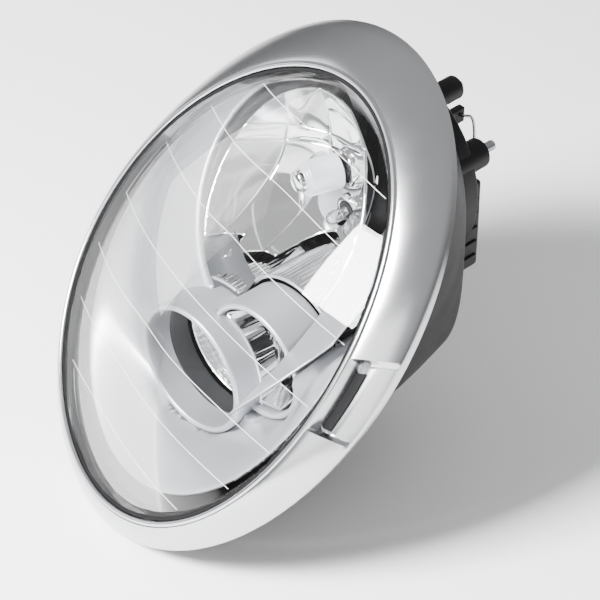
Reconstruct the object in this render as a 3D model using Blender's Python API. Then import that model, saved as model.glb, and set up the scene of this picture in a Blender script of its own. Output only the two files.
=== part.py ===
"""Oval car headlight: bright trim ring, domed lens, aimed main reflector and two round lamps below it.

Frame: -Y is the way the lamp shines, +Z is up and +X is to the right seen from in front of the car.
The origin is the centre of the lens's outline. Every size below is in millimetres and degrees; each
mesh point is turned into metres as it is made.
"""

import math

import bmesh
import bpy
from mathutils import Matrix, Vector

MM = 0.001
FULL_TURN = 2 * math.pi

# ---- driving dimensions: the lens and the trim ring -----------------------------------------------
LENS_HALF_WIDTH = 114.4
LENS_HALF_HEIGHT = 136.7
LENS_RAKE = 37.9           # how far the lens leans back
LENS_SWEEP = 12.0          # how far its left side is set back
LENS_LEAN = -2.9           # turn of the oval in its own plane
LENS_EGG_COS = -0.019      # threefold harmonics that make the oval an egg
LENS_EGG_SIN = -0.011
LENS_DOME = 26.0
LENS_WALL = 3.0
LENS_SKIRT = 9.0
TRIM_BAND_SIDE = 21.5      # from the lens's outline to the ring's, across
TRIM_BAND_TOP = 27.1
TRIM_HALF_WIDTH = LENS_HALF_WIDTH + TRIM_BAND_SIDE
TRIM_HALF_HEIGHT = LENS_HALF_HEIGHT + TRIM_BAND_TOP
TRIM_SHIFT = (4.5, 16.8, -4.5)
TRIM_WALL = 2.2
TRIM_LIP = 7.0
NOTCH_FROM = -5.0          # the window in the trim ring, as angles round the outline
NOTCH_TO = 14.0
SEAL_WIDTH = 2.0
GAP = 0.4                  # between pieces that touch
BEAD_START = GAP + SEAL_WIDTH + GAP     # outwards from the lens's edge
BEAD_FOOT = BEAD_START + 3.6
ROUND_LARGE = 48           # facets round the large outlines
ROUND_LAMP = 32            # facets round a lamp
ROUND_SMALL = 16           # facets round small turned pieces

# ---- driving dimensions: the bezel and the main reflector ---------------------------------------
BEZEL_EDGE_DEPTH = 13.6    # behind the lens's plane, along Y
BEZEL_WALL_Y = -10.0       # where the bezel stands upright round the twin lamps
BEZEL_FLOOR_FROM = 0.84    # share of the outline where the floor starts to come forward
BEZEL_CREASE = 5.0         # softness of the crease between the leaning and the upright part
BEZEL_WALL = 3.0
BEZEL_INSET = 3.0          # from the lens's inner wall to the bezel's edge
HOLE_CENTRE = (15.8, 46.3)
HOLE_HALF = (74.9, 53.1)
REFLECTOR_CENTRE = (10.0, 39.0)
REFLECTOR_HALF = (63.0, 54.0)
REFLECTOR_RIM_DEPTH = 12.0
REFLECTOR_WALL = 2.2
VERTEX = (6.0, 101.0, 39.4)
AIM_CLEARANCE = 5.0        # round the reflector, for the aim movement
SURROUND_FROM = 104.0      # the dark wall behind the opening, as angles round it
SURROUND_TO = 214.0
SURROUND_DEPTH = 8.5
SURROUND_WALL = 2.0

# ---- driving dimensions: main bulb and shield, along their own line -----------------------------
BULB_TIP = (-3.0, 70.3, 39.4)
BULB_YAW = 18.0
BULB_BORE = 8.0
COLLAR_RADIUS = 12.0
COLLAR_FROM = 28.6
COLLAR_TO = 40.0
SHIELD_RADIUS = 10.5
SHIELD_WALL = 1.1
SHIELD_LENGTH = 24.0
GLASS_RADIUS = 5.0
BULB_BASE_RADIUS = 9.0
BULB_BASE_END = 55.0
BULB_PLUG_RADIUS = 6.5     # the plug's socket in the base
BULB_PLUG_DEPTH = 9.0
POSITION_BULB = (19.0, 22.0)
POSITION_BULB_RADIUS = 4.0
POSITION_HOLDER_RADIUS = 6.0
POSITION_BULB_BACK = 86.0  # where the small bulb meets its holder

# ---- driving dimensions: the twin lamps ---------------------------------------------------------
LEFT_LAMP = (-4.1, -52.3)
LEFT_RADIUS = 37.8
LEFT_FRONT = -18.2
LEFT_BACK = 14.0
RIGHT_LAMP = (36.8, -30.3)
RIGHT_RADIUS = 32.8
RIGHT_FRONT = -4.6
RIGHT_BACK = 26.0
RING_WALL = 3.8
LAMP_VERTEX_LEFT = 62.0
LAMP_VERTEX_RIGHT = 60.0
LAMP_WALL = 1.8
LEFT_TUBE_DEPTH = 18.2     # of the bright inner wall, before the dark tube
LEFT_BOWL_FRONT = LEFT_BACK + 2.6
RIGHT_BOWL_FRONT = RIGHT_BACK - 10.0
LAMP_BULB_HOLE = 8.0
LAMP_BULB_RADIUS = 5.0
HOOD_GAP = 4.0             # apron outside each ring
HOOD_WALL = 2.0
APRON_BACK = 80.0

# ---- driving dimensions: the housing ------------------------------------------------------------
HOUSING_WALL = 3.0
HOUSING_REAR = 116.0
HOUSING_REAR_CENTRE = (7.0, 10.0)
HOUSING_REAR_HALF = (79.0, 94.0)
HOUSING_SQUARENESS = 3.1   # exponent of the rear outline: 2 is an ellipse
HOUSING_TAPER = 3.0        # how late the walls draw in towards the rear
DRUM_CENTRE = (15.0, 37.0)
DRUM_RADIUS = 66.0
DRUM_REAR = HOUSING_REAR + 16.0
PORT_CENTRE = (14.0, 45.0)
PORT_RADIUS = 31.0
COVER_HALF = PORT_RADIUS + 5.0
COVER_DEPTH = 16.0
COVER_WALL = 2.5
COVER_EAR = PORT_RADIUS + 2.0           # from the port's centre to each ear of the cover
BAIL_WIRE = 0.9
BAIL_PIN_UP = PORT_RADIUS - 1.0         # the bail's pin above the port's centre
BAIL_PIN_Y = DRUM_REAR + 14.7
BOX_LOW = (PORT_CENTRE[0] + COVER_HALF + 1.0, HOUSING_REAR - 4.0, -14.0)
BOX_HIGH = (BOX_LOW[0] + 24.0, HOUSING_REAR + 24.0, 46.0)
SOCKET_AT = (BOX_LOW[0] + 1.5, -9.0)    # the wiring socket's low corner on the box's rear face, as x and z
SOCKET_SIZE = (12.0, 11.0, 26.0)
SOCKET_WALL = 2.0
LOWER_CAP_RADIUS = 23.5
LOWER_CAP = (14.0, -57.0)

# ---- driving dimensions: aiming -----------------------------------------------------------------
PIVOT = (-54.0, 98.0, 60.0)
PAN_SCREW = (68.0, 60.0)
TILT_SCREW = (-54.0, -20.0)
BALL_RADIUS = 5.0
SOCKET_RADIUS = 8.0
PLATE_FRONT = 98.0
PLATE_WALL = 4.0
SPOOL_WAIST = 4.0
SPOOL_FLANGE = 6.8
SPOOL_PLAY = 0.8
SCREW_RADIUS = 2.0
SHAFT_RADIUS = 3.0
SHAFT_END = HOUSING_REAR + 39.0
STUD = (50.0, 97.0)
STUD_END = HOUSING_REAR + 29.0
EAR_SIZE = 26.0
EAR_WALL = 5.0
EARS = {                   # the low corner of each bush along Y, with its x and z
    "left": (-LENS_HALF_WIDTH - 3.6, 78.0, -2.0),
    "top": (-50.0, DRUM_REAR - 5.0, 74.0),
    "bottom": (-2.0, 62.0, 27.2 - LENS_HALF_HEIGHT),
}
BUSH_RADIUS = 5.0
BUSH_BORE = 3.3

# ---- the lens's own directions ------------------------------------------------------------------
RAKE = math.radians(LENS_RAKE)
SWEEP = math.radians(LENS_SWEEP)
LEAN = math.radians(LENS_LEAN)
FACING = Vector((-math.sin(SWEEP) * math.cos(RAKE), -math.cos(SWEEP) * math.cos(RAKE), math.sin(RAKE)))
ACROSS_FLAT = Vector((math.cos(SWEEP), -math.sin(SWEEP), 0))
UP_FLAT = Vector((math.sin(SWEEP) * math.sin(RAKE), math.cos(SWEEP) * math.sin(RAKE), math.cos(RAKE)))
ACROSS = ACROSS_FLAT * math.cos(LEAN) + UP_FLAT * math.sin(LEAN)
UPWARD = UP_FLAT * math.cos(LEAN) - ACROSS_FLAT * math.sin(LEAN)
BACKWARD = Vector((0, 1, 0))

MATERIALS = {
    "satin_silver": ("C9CACD", 0.28, 1.0, 1.0),
    "satin_bezel": ("D4D5D7", 0.42, 0.6, 1.0),
    "clear_polycarbonate": ("F4F7F8", 0.03, 0.0, 0.18),
    "chrome": ("E6E8EA", 0.06, 1.0, 1.0),
    "dark_grey_plastic": ("4A4D50", 0.5, 0.0, 1.0),
    "charcoal_plastic": ("2B2D2F", 0.6, 0.0, 1.0),
    "black_plastic": ("17181A", 0.5, 0.0, 1.0),
    "black_rubber": ("101112", 0.8, 0.0, 1.0),
    "zinc_steel": ("8E9296", 0.35, 1.0, 1.0),
    "spring_steel": ("6E7276", 0.3, 1.0, 1.0),
    "shield_grey": ("B9BCC0", 0.3, 0.8, 1.0),
    "clear_glass": ("E9F1F5", 0.02, 0.0, 0.35),
    "white_nylon": ("D8D6CE", 0.45, 0.0, 1.0),
}


# ---- small helpers ------------------------------------------------------------------------------
def clear_scene():
    """Removes whatever the opened file holds."""
    for obj in list(bpy.data.objects):
        bpy.data.objects.remove(obj, do_unlink=True)


def finish_of(slot):
    """The Principled material of one finish, made once."""
    made = bpy.data.materials.get(slot)
    if made:
        return made
    colour, roughness, metallic, alpha = MATERIALS[slot]
    made = bpy.data.materials.new(slot)
    made.use_nodes = True
    shader = made.node_tree.nodes["Principled BSDF"]
    channels = [int(colour[i : i + 2], 16) / 255 for i in (0, 2, 4)]
    linear = [c / 12.92 if c <= 0.04045 else ((c + 0.055) / 1.055) ** 2.4 for c in channels]
    shader.inputs["Base Color"].default_value = (*linear, 1)
    shader.inputs["Roughness"].default_value = roughness
    shader.inputs["Metallic"].default_value = metallic
    shader.inputs["Alpha"].default_value = alpha
    return made


def add_object(name, build, slot, turn=None):
    """An object from a finished bmesh; turn is the matrix that places it, in metres."""
    bmesh.ops.recalc_face_normals(build, faces=build.faces)
    mesh = bpy.data.meshes.new(name)
    build.to_mesh(mesh)
    build.free()
    if turn is not None:
        mesh.transform(turn)
    mesh.shade_smooth()
    mesh.set_sharp_from_angle(angle=math.radians(35))
    obj = bpy.data.objects.new(name, mesh)
    bpy.context.collection.objects.link(obj)
    obj.data.materials.append(finish_of(slot))
    return obj


def join_rings(build, rings, closed_section=False):
    """Quads between successive rings of vertices; a closed section joins the last ring to the first."""
    last = len(rings) if closed_section else len(rings) - 1
    for row in range(last):
        here, there = rings[row], rings[(row + 1) % len(rings)]
        count = len(here)
        for i in range(count):
            j = (i + 1) % count
            build.faces.new((here[i], here[j], there[j], there[i]))


def ring_of(build, points):
    """One ring of vertices from millimetre points."""
    return [build.verts.new(Vector(p) * MM) for p in points]


def angles(count, start=0.0):
    """Equal angles in radians round one turn."""
    return [start + FULL_TURN * i / count for i in range(count)]


def loft(name, rings, slot, closed_section=False, caps=True):
    """A solid through rings of points: a torus when the section is closed, otherwise capped at its ends."""
    build = bmesh.new()
    made = [ring_of(build, ring) for ring in rings]
    join_rings(build, made, closed_section)
    if caps and not closed_section:
        build.faces.new(made[0])
        build.faces.new(made[-1])
    return add_object(name, build, slot)


def turned(name, profile, slot, centre=(0, 0), count=ROUND_LAMP, axis=None):
    """A closed profile of (radius, distance) turned about a line along +Y through centre, or about axis.

    A radius of 0 is one point on the line, so a profile may start and end there."""
    build = bmesh.new()
    rings = []
    for radius, distance in profile:
        if radius == 0:
            rings.append([build.verts.new(Vector((0, distance, 0)) * MM)])
            continue
        circle = [(radius * math.cos(a), distance, radius * math.sin(a)) for a in angles(count)]
        rings.append(ring_of(build, circle))
    solid = len(rings[0]) == 1
    pairs = list(zip(rings, rings[1:])) + ([] if solid else [(rings[-1], rings[0])])
    for here, there in pairs:
        for i in range(count):
            j = (i + 1) % count
            corners = [here[i % len(here)], here[j % len(here)], there[j % len(there)], there[i % len(there)]]
            build.faces.new(list(dict.fromkeys(corners)))
    place = axis or Matrix.Translation(Vector((centre[0], 0, centre[1])) * MM)
    return add_object(name, build, slot, place)


def block(name, low, high, slot, bevel=0.0, turn=None):
    """A box between two corners, with its edges rounded when bevel is given."""
    build = bmesh.new()
    size = Vector(high) - Vector(low)
    middle = (Vector(high) + Vector(low)) / 2
    place = Matrix.Translation(middle * MM) @ Matrix.Diagonal((*(size * MM), 1))
    bmesh.ops.create_cube(build, size=1, matrix=place)
    if bevel:
        edges = build.edges[:]
        bmesh.ops.bevel(build, geom=edges, offset=bevel * MM, segments=2, profile=0.5, affect="EDGES")
    return add_object(name, build, slot, turn)


def prism(name, outline, front, back, slot):
    """An outline of (x, z) points carried along Y from front to back."""
    rings = [[(x, y, z) for x, z in outline] for y in (front, back)]
    return loft(name, rings, slot)


def rod(name, centre, radius, front, back, slot, count=ROUND_SMALL):
    """A plain round bar along Y."""
    profile = [(0, front), (radius, front), (radius, back), (0, back)]
    return turned(name, profile, slot, centre, count)


def wire(name, points, radius, slot):
    """A bent wire as a curve with a round bevel and filled ends."""
    curve = bpy.data.curves.new(name, "CURVE")
    curve.dimensions = "3D"
    curve.bevel_depth = radius * MM
    curve.bevel_resolution = 1
    curve.use_fill_caps = True
    spline = curve.splines.new("POLY")
    spline.points.add(len(points) - 1)
    for target, point in zip(spline.points, points):
        target.co = (*(Vector(point) * MM), 1)
    obj = bpy.data.objects.new(name, curve)
    bpy.context.collection.objects.link(obj)
    curve.materials.append(finish_of(slot))
    return obj


def combine(target, operation, tool):
    """A Boolean with a hidden tool: UNION, DIFFERENCE or INTERSECT."""
    modifier = target.modifiers.new(f"{operation.lower()}_{tool.name}", "BOOLEAN")
    modifier.operation = operation
    modifier.object = tool
    modifier.solver = "EXACT"
    tool.hide_render = True
    tool.display_type = "WIRE"
    return target


def cut(target, *tools):
    """Takes each tool out of the target."""
    for tool in tools:
        combine(target, "DIFFERENCE", tool)
    return target


def add_to(target, *tools):
    """Joins each tool to the target."""
    for tool in tools:
        combine(target, "UNION", tool)
    return target


# ---- curves of the lens and trim -----------------------------------------------------------------
def lens_edge(angle, grow=0.0, back=0.0):
    """A point on the lens's outline, grown outwards in its plane and set back along the lens's facing."""
    egg = 1 + LENS_EGG_COS * math.cos(3 * angle) + LENS_EGG_SIN * math.sin(3 * angle)
    across = (LENS_HALF_WIDTH + grow) * egg * math.cos(angle)
    up = (LENS_HALF_HEIGHT + grow) * egg * math.sin(angle)
    return ACROSS * across + UPWARD * up - FACING * back


def trim_edge(angle, grow=0.0, back=0.0):
    """A point on the trim ring's outer outline, set back along +Y."""
    across = (TRIM_HALF_WIDTH + grow) * math.cos(angle)
    up = (TRIM_HALF_HEIGHT + grow) * math.sin(angle)
    return ACROSS * across + UPWARD * up + Vector(TRIM_SHIFT) + BACKWARD * back


def plane_y(x, z, back):
    """Y of the plane that lies back behind the lens's plane, at x and z."""
    return (-back - FACING.x * x - FACING.z * z) / FACING.y


def flat_ellipse(centre, half, grow, count):
    """(x, z) points of an upright ellipse."""
    return [
        (centre[0] + (half[0] + grow) * math.cos(a), centre[1] + (half[1] + grow) * math.sin(a))
        for a in angles(count)
    ]


# ---- lens, seal and trim -------------------------------------------------------------------------
def lens_ring(share, grow, back, dome):
    """One ring of the lens: share 1 is the outline and 0 its middle, where the dome stands highest."""
    rise = dome * (1 - share * share)
    ring = []
    for angle in angles(ROUND_LARGE):
        ring.append(lens_edge(angle, grow, 0) * share + FACING * (rise - back))
    return ring


def make_front_lens():
    """A domed shell with a skirt at its edge that seats in the housing."""
    shares = (0.12, 0.35, 0.58, 0.78, 0.92)
    build = bmesh.new()
    outside = [ring_of(build, lens_ring(s, 0, 0, LENS_DOME)) for s in (*shares, 1)]
    skirt = [ring_of(build, lens_ring(1, g, LENS_SKIRT, LENS_DOME)) for g in (0, -LENS_WALL)]
    inside = [
        ring_of(build, lens_ring(s, -LENS_WALL, LENS_WALL, LENS_DOME)) for s in (1, *reversed(shares))
    ]
    rings = outside + skirt + inside
    join_rings(build, rings)
    build.faces.new(rings[0])
    build.faces.new(rings[-1])
    return add_object("front_lens", build, "clear_polycarbonate")


def around_outline(name, section, slot):
    """A closed section of point functions carried round the whole outline."""
    rings = [[point(angle) for angle in angles(ROUND_LARGE)] for point in section]
    return loft(name, rings, slot, closed_section=True)


def make_lens_seal():
    """The dark gasket in the groove between the lens and the trim ring."""
    inner, outer = GAP, GAP + SEAL_WIDTH
    section = [
        lambda a: lens_edge(a, inner, 0.6),
        lambda a: lens_edge(a, outer, 0.6),
        lambda a: lens_edge(a, outer, LENS_SKIRT - 1.5),
        lambda a: lens_edge(a, inner, LENS_SKIRT - 1.5),
    ]
    return around_outline("lens_seal", section, "black_rubber")


def flank(angle, share, crown):
    """A point on the trim ring's wide flank, from the bead at share 0 to the outer edge at share 1."""
    start = lens_edge(angle, BEAD_FOOT, 0.2)
    return start.lerp(trim_edge(angle), share) + FACING * crown


def notch_solid(name, inner, outer, start, stop, deep):
    """A curved block over part of the trim ring, used to cut the window."""
    rings = []
    steps = 6
    for i in range(steps + 1):
        angle = math.radians(start + (stop - start) * i / steps)
        rings.append([lens_edge(angle, g, b) for g, b in ((inner, -12), (outer, -12), (outer, deep), (inner, deep))])
    return loft(name, rings, "satin_silver")


def make_trim_ring():
    """The bright ring: inner wall, bead, wide crowned flank and turned-back lip, all one pressing."""
    wall = TRIM_WALL
    section = [
        lambda a: lens_edge(a, BEAD_START, LENS_SKIRT - 1),
        lambda a: lens_edge(a, BEAD_START, 0),
        lambda a: lens_edge(a, BEAD_START + 1.6, -1.6),
        lambda a: lens_edge(a, BEAD_FOOT, 0.2),
        lambda a: flank(a, 0.35, 1.6),
        lambda a: flank(a, 0.72, 1.2),
        lambda a: trim_edge(a),
        lambda a: trim_edge(a, 0, TRIM_LIP),
        lambda a: trim_edge(a, -wall, TRIM_LIP),
        lambda a: trim_edge(a, -wall, 1.8),
        lambda a: flank(a, 0.72, 1.2 - wall),
        lambda a: flank(a, 0.35, 1.6 - wall),
        lambda a: lens_edge(a, BEAD_FOOT, 0.2 + wall),
        lambda a: lens_edge(a, BEAD_START + wall, 0.2 + wall),
        lambda a: lens_edge(a, BEAD_START + wall, LENS_SKIRT - 1),
    ]
    ring = around_outline("trim_ring", section, "satin_silver")
    window = notch_solid("notch_tool", BEAD_FOOT + 0.6, BEAD_FOOT + 8.5, NOTCH_FROM, NOTCH_TO, 30)
    return cut(ring, window)


def make_trim_clips():
    """Four bent strips that hold the trim ring on the housing's front edge."""
    for index, degrees in enumerate((52, 128, 232, 300)):
        angle = math.radians(degrees)
        span = math.radians(3.2)
        rings = []
        for a in (angle - span, angle, angle + span):
            inner, outer = BEAD_START + TRIM_WALL + 0.5, BEAD_FOOT + 3
            rings.append([lens_edge(a, g, b) for g, b in ((inner, 7.2), (outer, 7.2), (outer, 8.4), (inner, 8.4))])
        loft(f"trim_clip_{index + 1}", rings, "spring_steel")


# ---- bezel and twin rings ------------------------------------------------------------------------
def bezel_front(x, z, share):
    """Y of the bezel's front: it follows the lens above, and stands upright round the twin lamps.

    share is how far out the point is, and brings the surface back to the lens's edge at 1."""
    leaning = plane_y(x, z, 0) + BEZEL_EDGE_DEPTH
    fall = min(1.0, max(0.0, (share - BEZEL_FLOOR_FROM) / (1 - BEZEL_FLOOR_FROM)))
    hold = 1 - fall * fall * (3 - 2 * fall)
    behind = (BEZEL_WALL_Y - leaning) / BEZEL_CREASE
    return leaning + BEZEL_CREASE * math.log1p(math.exp(min(30.0, behind))) * hold


def share_of(x, z):
    """How far out a point seen from the front lies: 0 at the lens's middle and 1 at its outline."""
    point = Vector((x, plane_y(x, z, 0), z))
    across, up = point.dot(ACROSS), point.dot(UPWARD)
    angle = math.atan2(up / LENS_HALF_HEIGHT, across / LENS_HALF_WIDTH)
    return point.length / lens_edge(angle).length


def bezel_ring(share, extra):
    """One ring of the bezel at a share of the outline, set back by extra."""
    ring = []
    for angle in angles(ROUND_LARGE):
        point = lens_edge(angle, -LENS_WALL - BEZEL_INSET, 0) * share
        ring.append((point.x, bezel_front(point.x, point.z, share) + extra, point.z))
    return ring


def make_bezel():
    """The satin mask inside the lens, with the reflector's opening and the two lamp openings."""
    shares = (0.1, 0.25, 0.4, 0.55, 0.7, 0.8, 0.86, 0.91, 0.95, 1)
    build = bmesh.new()
    front = [ring_of(build, bezel_ring(s, 0)) for s in shares]
    behind = [ring_of(build, bezel_ring(s, BEZEL_WALL)) for s in reversed(shares)]
    rings = front + behind
    join_rings(build, rings)
    build.faces.new(rings[0])
    build.faces.new(rings[-1])
    bezel = add_object("bezel", build, "satin_bezel")
    opening = prism("opening_tool", flat_ellipse(HOLE_CENTRE, HOLE_HALF, 0, ROUND_LARGE), -120, 140, "chrome")
    left = rod("left_opening_tool", LEFT_LAMP, LEFT_RADIUS + RING_WALL + GAP, -120, 140, "chrome", ROUND_LAMP)
    right = rod("right_opening_tool", RIGHT_LAMP, RIGHT_RADIUS + RING_WALL + GAP, -120, 140, "chrome", ROUND_LAMP)
    return cut(bezel, opening, left, right)


def ring_profile(radius, front, back, depth):
    """The rolled rim, inner wall and outer wall of one lamp ring; depth is how far the inner wall goes."""
    outer = radius + RING_WALL
    return [
        (radius, front + 1.2),
        (radius + RING_WALL / 2, front),
        (outer, front + 1.6),
        (outer, back),
        (outer - 1.6, back),
        (outer - 1.6, front + depth),
        (radius, front + depth),
    ]


def bowl_radius(radius, front, vertex, y):
    """Radius of a paraboloid that has this radius at its front and its point at the vertex."""
    return radius * math.sqrt(max(0.0, (vertex - y) / (vertex - front)))


def bowl_profile(radius, front, vertex, wall, hole, grow=0.0):
    """Inside then outside of a small lamp's reflector, with a bulb hole at its back."""
    stop = vertex - (vertex - front) * (hole / radius) ** 2
    steps = 4
    ys = [front + (stop - front) * i / steps for i in range(steps + 1)]
    inside = [(bowl_radius(radius, front, vertex, y) - grow, y) for y in ys]
    outside = [(bowl_radius(radius, front, vertex, y) + wall + grow, y + wall * i / steps) for i, y in enumerate(ys)]
    return inside + outside[::-1]


def left_envelope(name, grow):
    """Everything the left lamp fills, grown, to clear the right lamp from it."""
    outer = LEFT_RADIUS + RING_WALL + grow
    bowl = LEFT_RADIUS - 0.6 + LAMP_WALL + grow
    profile = [(0, -130), (outer, -130), (outer, LEFT_BOWL_FRONT + 1)]
    for share in (0.0, 0.25, 0.5, 0.75):
        y = LEFT_BOWL_FRONT + 1.2 + (LAMP_VERTEX_LEFT - LEFT_BOWL_FRONT) * share
        profile.append((bowl_radius(bowl, LEFT_BOWL_FRONT, LAMP_VERTEX_LEFT + 8, y), y))
    profile += [(LAMP_BULB_HOLE + 3 + grow, 90), (0, 90)]
    return turned(name, profile, "chrome", LEFT_LAMP)


def make_twin_lamps():
    """Both rings, the dark tube in the left one, and each lamp's reflector, bulb and holder."""
    outer_left = ring_profile(LEFT_RADIUS, LEFT_FRONT, LEFT_BACK, LEFT_TUBE_DEPTH)
    turned("left_ring_trim", outer_left, "satin_bezel", LEFT_LAMP)
    outer_right = ring_profile(RIGHT_RADIUS, RIGHT_FRONT, RIGHT_BACK, 16)
    right_ring = turned("right_ring_trim", outer_right, "satin_bezel", RIGHT_LAMP)
    cut(right_ring, left_envelope("left_lamp_tool", GAP))
    tube_outer = LEFT_RADIUS + RING_WALL - 1.6 - GAP
    tube_front = LEFT_FRONT + LEFT_TUBE_DEPTH + GAP
    tube = [(LEFT_RADIUS - 0.4, tube_front), (tube_outer, tube_front), (tube_outer, LEFT_BACK), (LEFT_RADIUS - 0.4, LEFT_BACK)]
    turned("left_lamp_tube", tube, "charcoal_plastic", LEFT_LAMP)
    left_bowl = bowl_profile(LEFT_RADIUS - 0.6, LEFT_BOWL_FRONT, LAMP_VERTEX_LEFT, LAMP_WALL, LAMP_BULB_HOLE)
    turned("left_lamp_reflector", left_bowl, "chrome", LEFT_LAMP)
    right_bowl = bowl_profile(RIGHT_RADIUS - 2, RIGHT_BOWL_FRONT, LAMP_VERTEX_RIGHT, LAMP_WALL, LAMP_BULB_HOLE)
    right_reflector = turned("right_lamp_reflector", right_bowl, "chrome", RIGHT_LAMP)
    cut(right_reflector, left_envelope("left_lamp_tool_wide", 2 * GAP))
    for side, centre, vertex, slot in (
        ("left", LEFT_LAMP, LAMP_VERTEX_LEFT, "clear_glass"),
        ("right", RIGHT_LAMP, LAMP_VERTEX_RIGHT, "clear_glass"),
    ):
        radius = LAMP_BULB_RADIUS
        tip = vertex - 24
        glass = [(0, tip), (radius * 0.7, tip + 1.6), (radius, tip + 5), (radius, vertex - 6), (0, vertex - 6)]
        turned(f"{side}_bulb", glass, slot, centre, ROUND_SMALL)
        neck = LAMP_BULB_HOLE - 1.2
        flange = LAMP_BULB_HOLE + 3
        holder = [
            (0, vertex - 5.6),
            (neck, vertex - 5.6),
            (neck, vertex + LAMP_WALL + 0.6),
            (flange, vertex + LAMP_WALL + 0.6),
            (flange, vertex + 5),
            (neck, vertex + 5),
            (neck, vertex + 14),
            (0, vertex + 14),
        ]
        turned(f"{side}_bulb_holder", holder, "black_plastic", centre, ROUND_SMALL)


# ---- fluted apron --------------------------------------------------------------------------------
def hood_outline(grow, low_left=150.0, low_right=-25.0):
    """(x, z) points over both lamp barrels, from the left barrel's side to the right barrel's side."""
    left = LEFT_RADIUS + RING_WALL + HOOD_GAP + grow
    right = RIGHT_RADIUS + RING_WALL + HOOD_GAP + grow
    dx, dz = RIGHT_LAMP[0] - LEFT_LAMP[0], RIGHT_LAMP[1] - LEFT_LAMP[1]
    apart = math.hypot(dx, dz)
    along = (apart * apart + left * left - right * right) / (2 * apart)
    off = math.sqrt(left * left - along * along)
    cross_x = LEFT_LAMP[0] + (dx * along - dz * off) / apart
    cross_z = LEFT_LAMP[1] + (dz * along + dx * off) / apart
    meet_left = math.atan2(cross_z - LEFT_LAMP[1], cross_x - LEFT_LAMP[0])
    meet_right = math.atan2(cross_z - RIGHT_LAMP[1], cross_x - RIGHT_LAMP[0])
    points = []
    steps = 11
    for i in range(steps + 1):
        a = math.radians(low_left) + (meet_left - math.radians(low_left)) * i / steps
        points.append((LEFT_LAMP[0] + left * math.cos(a), LEFT_LAMP[1] + left * math.sin(a)))
    for i in range(1, steps + 1):
        a = meet_right + (math.radians(low_right) - meet_right) * i / steps
        points.append((RIGHT_LAMP[0] + right * math.cos(a), RIGHT_LAMP[1] + right * math.sin(a)))
    return points


def apron_front(index, count):
    """Y of the apron's front lip: just behind the left ring at one end and the right ring at the other."""
    share = min(1.0, max(0.0, (index / (count - 1) - 0.4) / 0.2))
    return (LEFT_BACK + 1) + (RIGHT_BACK - LEFT_BACK) * share


def make_fluted_apron():
    """The bright double hood over the lamp barrels, with its foot at the reflector's floor."""
    outer, inner = hood_outline(0), hood_outline(-HOOD_WALL)
    count = len(outer)
    loop = outer + inner[::-1]
    fronts = [apron_front(i, count) for i in range(count)]
    fronts += fronts[::-1]
    rings = []
    for share in (0.0, 0.5, 1.0):
        rings.append([(x, y + (APRON_BACK - y) * share, z) for (x, z), y in zip(loop, fronts)])
    return loft("fluted_apron", rings, "chrome")


# ---- main reflector ------------------------------------------------------------------------------
def bowl_point(angle, share, grow=0.0, back=0.0):
    """A point on the main reflector: share 1 is its raked rim and share 0 its vertex."""
    centre_x = VERTEX[0] + (REFLECTOR_CENTRE[0] - VERTEX[0]) * share
    centre_z = VERTEX[2] + (REFLECTOR_CENTRE[1] - VERTEX[2]) * share
    rim_x = REFLECTOR_CENTRE[0] + REFLECTOR_HALF[0] * math.cos(angle)
    rim_z = REFLECTOR_CENTRE[1] + REFLECTOR_HALF[1] * math.sin(angle)
    rim_y = plane_y(rim_x, rim_z, REFLECTOR_RIM_DEPTH)
    x = centre_x + (REFLECTOR_HALF[0] * share + grow) * math.cos(angle)
    z = centre_z + (REFLECTOR_HALF[1] * share + grow) * math.sin(angle)
    return (x, VERTEX[1] + (rim_y - VERTEX[1]) * share * share + back, z)


def bowl_ring(share, grow=0.0, back=0.0):
    """One ring of the main reflector."""
    return [bowl_point(a, share, grow, back) for a in angles(ROUND_LAMP + 8)]


def bulb_frame():
    """The matrix of the main bulb's own line: +Y runs from the shield's front to the bulb's base."""
    return Matrix.Translation(Vector(BULB_TIP) * MM) @ Matrix.Rotation(math.radians(-BULB_YAW), 4, "Z")


def make_main_reflector():
    """The bowl with its bulb collar, cut off below by the apron's outline."""
    shares = (0.16, 0.3, 0.45, 0.6, 0.74, 0.88, 1.0)
    wall = REFLECTOR_WALL
    inside = [bowl_ring(s) for s in shares]
    outside = [bowl_ring(s, wall * 0.8, wall * (1 - s * 0.9)) for s in reversed(shares)]
    bowl = loft("main_reflector", inside + outside, "chrome", closed_section=True)
    disc = [(0, COLLAR_FROM), (COLLAR_RADIUS, COLLAR_FROM), (COLLAR_RADIUS, COLLAR_TO), (0, COLLAR_TO)]
    collar = turned("collar_tool", disc, "chrome", count=24, axis=bulb_frame())
    bore_line = [(0, -20), (BULB_BORE, -20), (BULB_BORE, 60), (0, 60)]
    bore = turned("bore_tool", bore_line, "chrome", count=24, axis=bulb_frame())
    edge = hood_outline(AIM_CLEARANCE)
    floor = prism("floor_tool", [(-60, -140), *edge, (85, -140)], -60, APRON_BACK + AIM_CLEARANCE, "chrome")
    side_hole = rod("side_hole_tool", POSITION_BULB, POSITION_HOLDER_RADIUS, 60, 130, "chrome")
    add_to(bowl, collar)
    inside_opening = prism("opening_room_tool", flat_ellipse(HOLE_CENTRE, HOLE_HALF, -3, ROUND_LARGE), -60, 130, "chrome")
    combine(bowl, "INTERSECT", inside_opening)
    return cut(bowl, bore, floor, side_hole)


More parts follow.
